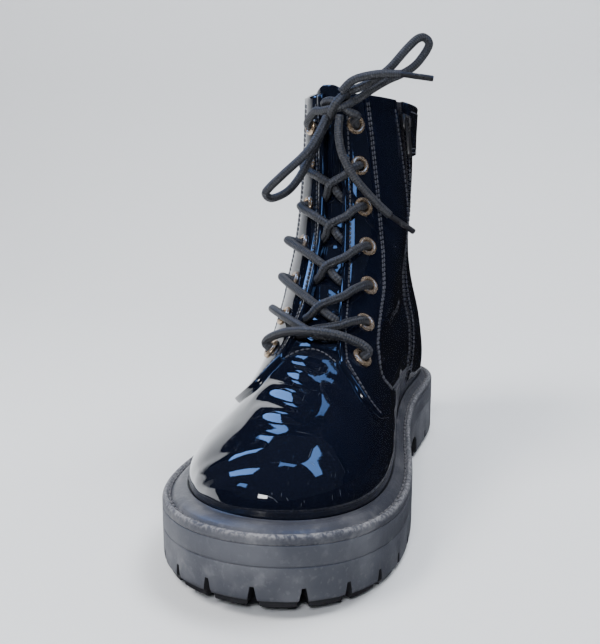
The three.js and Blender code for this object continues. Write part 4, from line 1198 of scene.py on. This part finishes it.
def strand(side, i, drop, over, slack):
    """Run of lace from an eyelet to under the other facing, at a height over in the middle."""
    reach = EYELET_REACH[i]
    _, v = eyelet_place(side, i)
    foot = facing_edge(v - drop * EYELET_STEP)
    turn = 0.83 if slack < 0.3 else 1.01
    places = [(reach, 0, -2.0), (reach * 0.99, 0, 1.9),
              (reach * turn + 0.003 * slack, 0.06, OVER_EYELET + slack),
              (reach * (turn - 0.22), 0.2, OVER_EYELET + 0.2 + 0.6 * slack),
              (reach * 0.43, 0.38, OVER_FACING + 0.7), (0, 0.62, over), (-0.62 * foot, 0.88, 0.2),
              (-foot - 0.02, 1.05, -1.6), (-foot - 0.06, 1.2, -2.2)]
    pts = [skin(LACE_CENTRE + side * u, v - fall * drop * EYELET_STEP, off) for u, fall, off in places]
    return smooth_path(pts, STEP)[0]


for k, (drop, slack) in enumerate(zip(DROPS, SLACK)):
    strands = [strand(1, k + 1, drop, 3.4, slack[0]), strand(-1, k + 1, drop, 0.4, slack[1])]
    lace_piece(f"lace_strands_{k + 1}", f"lace_crossing_{k + 1}", [tube(s, LACE_R, SIDES) for s in strands])

BAR = ((1, 0, -2.0), (1, 0, 2.4), (1.03, 0.03, 0.0), (0.85, 0.3, 0.5), (0.47, 0.62, 0.6), (0, 0.74, 0.6))
low = EYELETS - 1


def bar_half(side):
    pts = []
    for share, rise, off in BAR:
        lift = off if share == 1 else OVER_EYELET + off
        pts.append(skin(LACE_CENTRE + side * EYELET_REACH[low] * share,
                        TOP_EYELET - EYELET_STEP * (low - rise), lift))
    return pts


bar_path, _ = smooth_path(bar_half(-1) + bar_half(1)[:-1][::-1], STEP)
lace_piece("lace_bottom_bar", "lace_bar", [tube(bar_path, LACE_R, SIDES)])

# Bow, from points given in shares of its reach from the knot.
BOW = 50.0
KNOT = skin(LACE_CENTRE + 0.045, 0.965, 7.4)
UPPER_LOOP = [
    (0.085, -0.02, 0.125), (0.27, -0.06, 0.2), (0.46, -0.11, 0.33), (0.62, -0.18, 0.52), (0.71, -0.26, 0.62),
    (0.77, -0.32, 0.63), (0.8, -0.35, 0.56), (0.7, -0.31, 0.4), (0.58, -0.27, 0.31), (0.43, -0.22, 0.24),
    (0.27, -0.16, 0.14), (0.17, -0.08, 0.06), (0.08, -0.02, 0.02), (0.01, 0.0, -0.02)]
LOWER_LOOP = [
    (-0.085, 0.06, -0.09), (-0.15, 0.16, -0.28), (-0.24, 0.23, -0.44), (-0.44, 0.32, -0.64),
    (-0.58, 0.33, -0.77), (-0.62, 0.32, -0.83), (-0.57, 0.27, -0.87), (-0.44, 0.22, -0.81),
    (-0.34, 0.17, -0.69), (-0.26, 0.11, -0.52), (-0.19, 0.05, -0.35), (-0.13, 0.02, -0.21),
    (-0.08, -0.01, -0.11), (-0.03, 0.0, -0.03)]
UPPER_END = [(0.05, 0.08, 0.12), (0.17, 0.06, 0.23), (0.38, 0.03, 0.28), (0.61, -0.01, 0.28)]
LOWER_END = [(0.05, 0.11, -0.09), (0.05, 0.14, -0.27), (0.1, 0.16, -0.47), (0.22, 0.15, -0.68),
             (0.38, 0.07, -0.88), (0.52, -0.02, -1.03)]
AGLET_TOWARD = {"upper": (0.94, -0.06, 0.23), "lower": (0.89, -0.23, -1.31)}
AGLET_LENGTH = 15.0
AGLET_R, AGLET_ROOT_R, AGLET_TIP_R = 1.4, 1.75, 1.15


def bow(points):
    return [KNOT + BOW * np.array(p) for p in points]


def free_cord(name, node, points):
    path, length = smooth_path(points, STEP)
    obj = lace_piece(name, node, [tube(path, LACE_R, SIDES)])
    route = to_part(path)
    return obj


def aglet(name, start, toward):
    way = (toward - start) / np.linalg.norm(toward - start)
    path = start + way * np.linspace(-0.4, AGLET_LENGTH, 24)[:, None]
    radius = np.full(24, AGLET_R)
    radius[0], radius[-1] = AGLET_ROOT_R, AGLET_TIP_R
    p, f, t = tube(path, radius, 20)
    obj = smooth_by_angle(mesh_object(f"aglet_sleeve_{name}", to_part(p), f, AGLET, uvs=t), 50)
    return stands_for(obj, "aglet_plastic", f"aglet_{name}")


free_cord("lace_bow_upper", "lace_loop_upper", bow(UPPER_LOOP))
free_cord("lace_bow_lower", "lace_loop_lower", bow(LOWER_LOOP))
for name, points in (("upper", UPPER_END), ("lower", LOWER_END)):
    pts = bow(points)
    tip = aglet(name, pts[-1], KNOT + BOW * np.array(AGLET_TOWARD[name]))
    free_cord(f"lace_tail_{name}", f"lace_end_{name}", pts)

# Knot: the runs from the two top eyelets cross as flat bands, under a wrap round the bow's roots.
# Points are in mm from the knot's middle.
LATERAL_BAND = [(-11.5, -0.5, -2.6), (-7.5, 2.4, -2.4), (-2, 4.2, -1.6), (3.4, 3.4, -0.6),
                (6.6, 0.6, 1.2), (4, -2.4, 2.2)]
MEDIAL_BAND = [(9.5, -0.4, -4.6), (5.6, 2.2, -2.6), (1.2, 2.6, 1.0), (-3.4, 1.4, 2.4),
               (-6.8, -0.8, 1.2), (-4.4, -2.6, -1)]
WRAP = [(4.4, -2, 4.2), (3.4, 2.2, 4.4), (1.4, 5.6, 2.0), (-0.8, 6.0, -1.6), (-2.4, 3.4, -4.6),
        (-3, -1, -4.4)]
courses = [[KNOT + np.array(p) for p in WRAP]]
for side, band in ((1, MEDIAL_BAND), (-1, LATERAL_BAND)):
    u, v = eyelet_place(side, 0)
    courses.append([last_point(u, v) - 2 * last_normal(u, v), skin(u, v, 1.9),
                    skin(u - side * 0.022, v + 0.004, OVER_EYELET), *(KNOT + np.array(p) for p in band)])
lace_piece("lace_tied_knot", "lace_knot", [tube(smooth_path(c, STEP)[0], LACE_R, SIDES) for c in courses])


# Stage.
def plain(name, colour, roughness):
    return material(name, lambda place, flat: {}, Base_Color=(*colour, 1), Roughness=roughness,
                    Specular_IOR_Level=0.0)


def backdrop():
    """Floor that curves up into a plain wall behind the boot."""
    depth, bend, wide, tall = 0.42, 0.25, 3.0, 2.2
    profile = [(-2.5, 0.0)] + [(depth + bend * math.sin(t), bend * (1 - math.cos(t)))
                               for t in np.linspace(0, math.pi / 2, 16)] + [(depth + bend, tall)]
    points = [(x, y, z) for y, z in profile for x in (-wide, wide)]
    return mesh_object("backdrop", np.array(points), grid_faces(len(profile), 2),
                       plain("pale_grey", (0.85, 0.867, 0.89), 0.7))


def black_card():
    """Cards that only mirrors see. They keep the side away from the light as dark as in a furnished room."""
    low, tall, back, side, near, far = 0.002, 0.36, 0.3, -0.03, 0.147, 2.8
    behind, brow, top = 0.64, 0.5, 2.15
    corners = np.array([
        (side, back, low), (far, back, low), (far, back, tall), (side, back, tall),
        (side, -near, low), (far, -near, low), (-far, -near - 0.06 * far, low),
        (-far, -far, low), (far, -far, low),
        (-far, behind, brow), (far, behind, brow), (far, behind, top), (-far, behind, top)])
    faces = [(0, 1, 2, 3), (4, 5, 1, 0), (4, 6, 7, 8, 5), (9, 10, 11, 12)]
    black = plain("matt_black", (0.005, 0.005, 0.006), 1.0)
    card = mesh_object("black_card", corners, faces, black, smooth=False)
    card.visible_camera = card.visible_diffuse = card.visible_shadow = False
    return card


# The place on the boot that every panel faces.
AIM = Vector((0, -0.06, 0.06))


def panel(name, toward, distance, size, glow, colour, seen):
    """Soft light panel. seen: mirrored by glossy surfaces and no lamp, or a lamp that no surface mirrors."""
    data = bpy.data.lights.new(name, "AREA")
    data.shape = "RECTANGLE"
    data.size, data.size_y = size
    data.energy = glow * math.pi * size[0] * size[1]
    data.color = colour
    lamp = bpy.data.objects.new(name, data)
    lamp.location = AIM + Vector(toward).normalized() * distance
    lamp.rotation_euler = (-Vector(toward)).to_track_quat("-Z", "Y").to_euler()
    lamp.visible_camera = False
    lamp.visible_glossy = seen
    lamp.visible_diffuse = not seen
    return link(lamp)


SKY = (0.2, 0.42, 1.0)
WARM = (1.0, 0.985, 0.965)
WINDOWS = (
    ("left", (-0.7, 0.16, 0.69), (0.4, 0.6), 7),
    ("over", (0.56, -0.26, 0.79), (0.28, 0.95), 6),
    ("near", (-0.05, -0.34, 0.93), (0.6, 0.16), 5),
    ("back_1", (-0.42, 0.47, 0.78), (0.26, 0.26), 4.5),
    ("back_2", (0.0, 0.52, 0.86), (0.3, 0.28), 2.5),
    ("front", (-0.66, -0.66, 0.30), (0.3, 0.2), 6))
scene_stage = [
    backdrop(),
    black_card(),
    panel("key_light", (-0.5, -0.45, 1.0), 1.5, (0.6, 0.6), 16, WARM, False),
    panel("back_light", (0.3, 0.35, 1.2), 1.6, (1.2, 0.6), 11, (0.93, 0.96, 1.0), False),
    panel("front_light", (0.2, -1.2, 0.8), 1.6, (0.5, 0.4), 25, (0.95, 0.97, 1.0), False),
    *(panel(f"window_{name}", toward, 1.3, size, glow, SKY, True) for name, toward, size, glow in WINDOWS),
    panel("lamp_front", (-0.25, -0.96, 0.16), 1.3, (0.3, 0.2), 18, (1, 1, 1), True),
]
world = bpy.data.worlds.new("studio")
world.use_nodes = True
air = world.node_tree
dim = air.nodes["Background"]
dim.inputs["Color"].default_value = (0.6, 0.7, 0.9, 1)
dim.inputs["Strength"].default_value = 0.05
pale = air.nodes.new("ShaderNodeBackground")
pale.inputs["Color"].default_value = (0.62, 0.625, 0.635, 1)
choice = air.nodes.new("ShaderNodeMixShader")
air.links.new(air.nodes.new("ShaderNodeLightPath").outputs["Is Camera Ray"], choice.inputs[0])
air.links.new(dim.outputs[0], choice.inputs[1])
air.links.new(pale.outputs[0], choice.inputs[2])
air.links.new(choice.outputs[0], air.nodes["World Output"].inputs[0])
bpy.context.scene.world = world
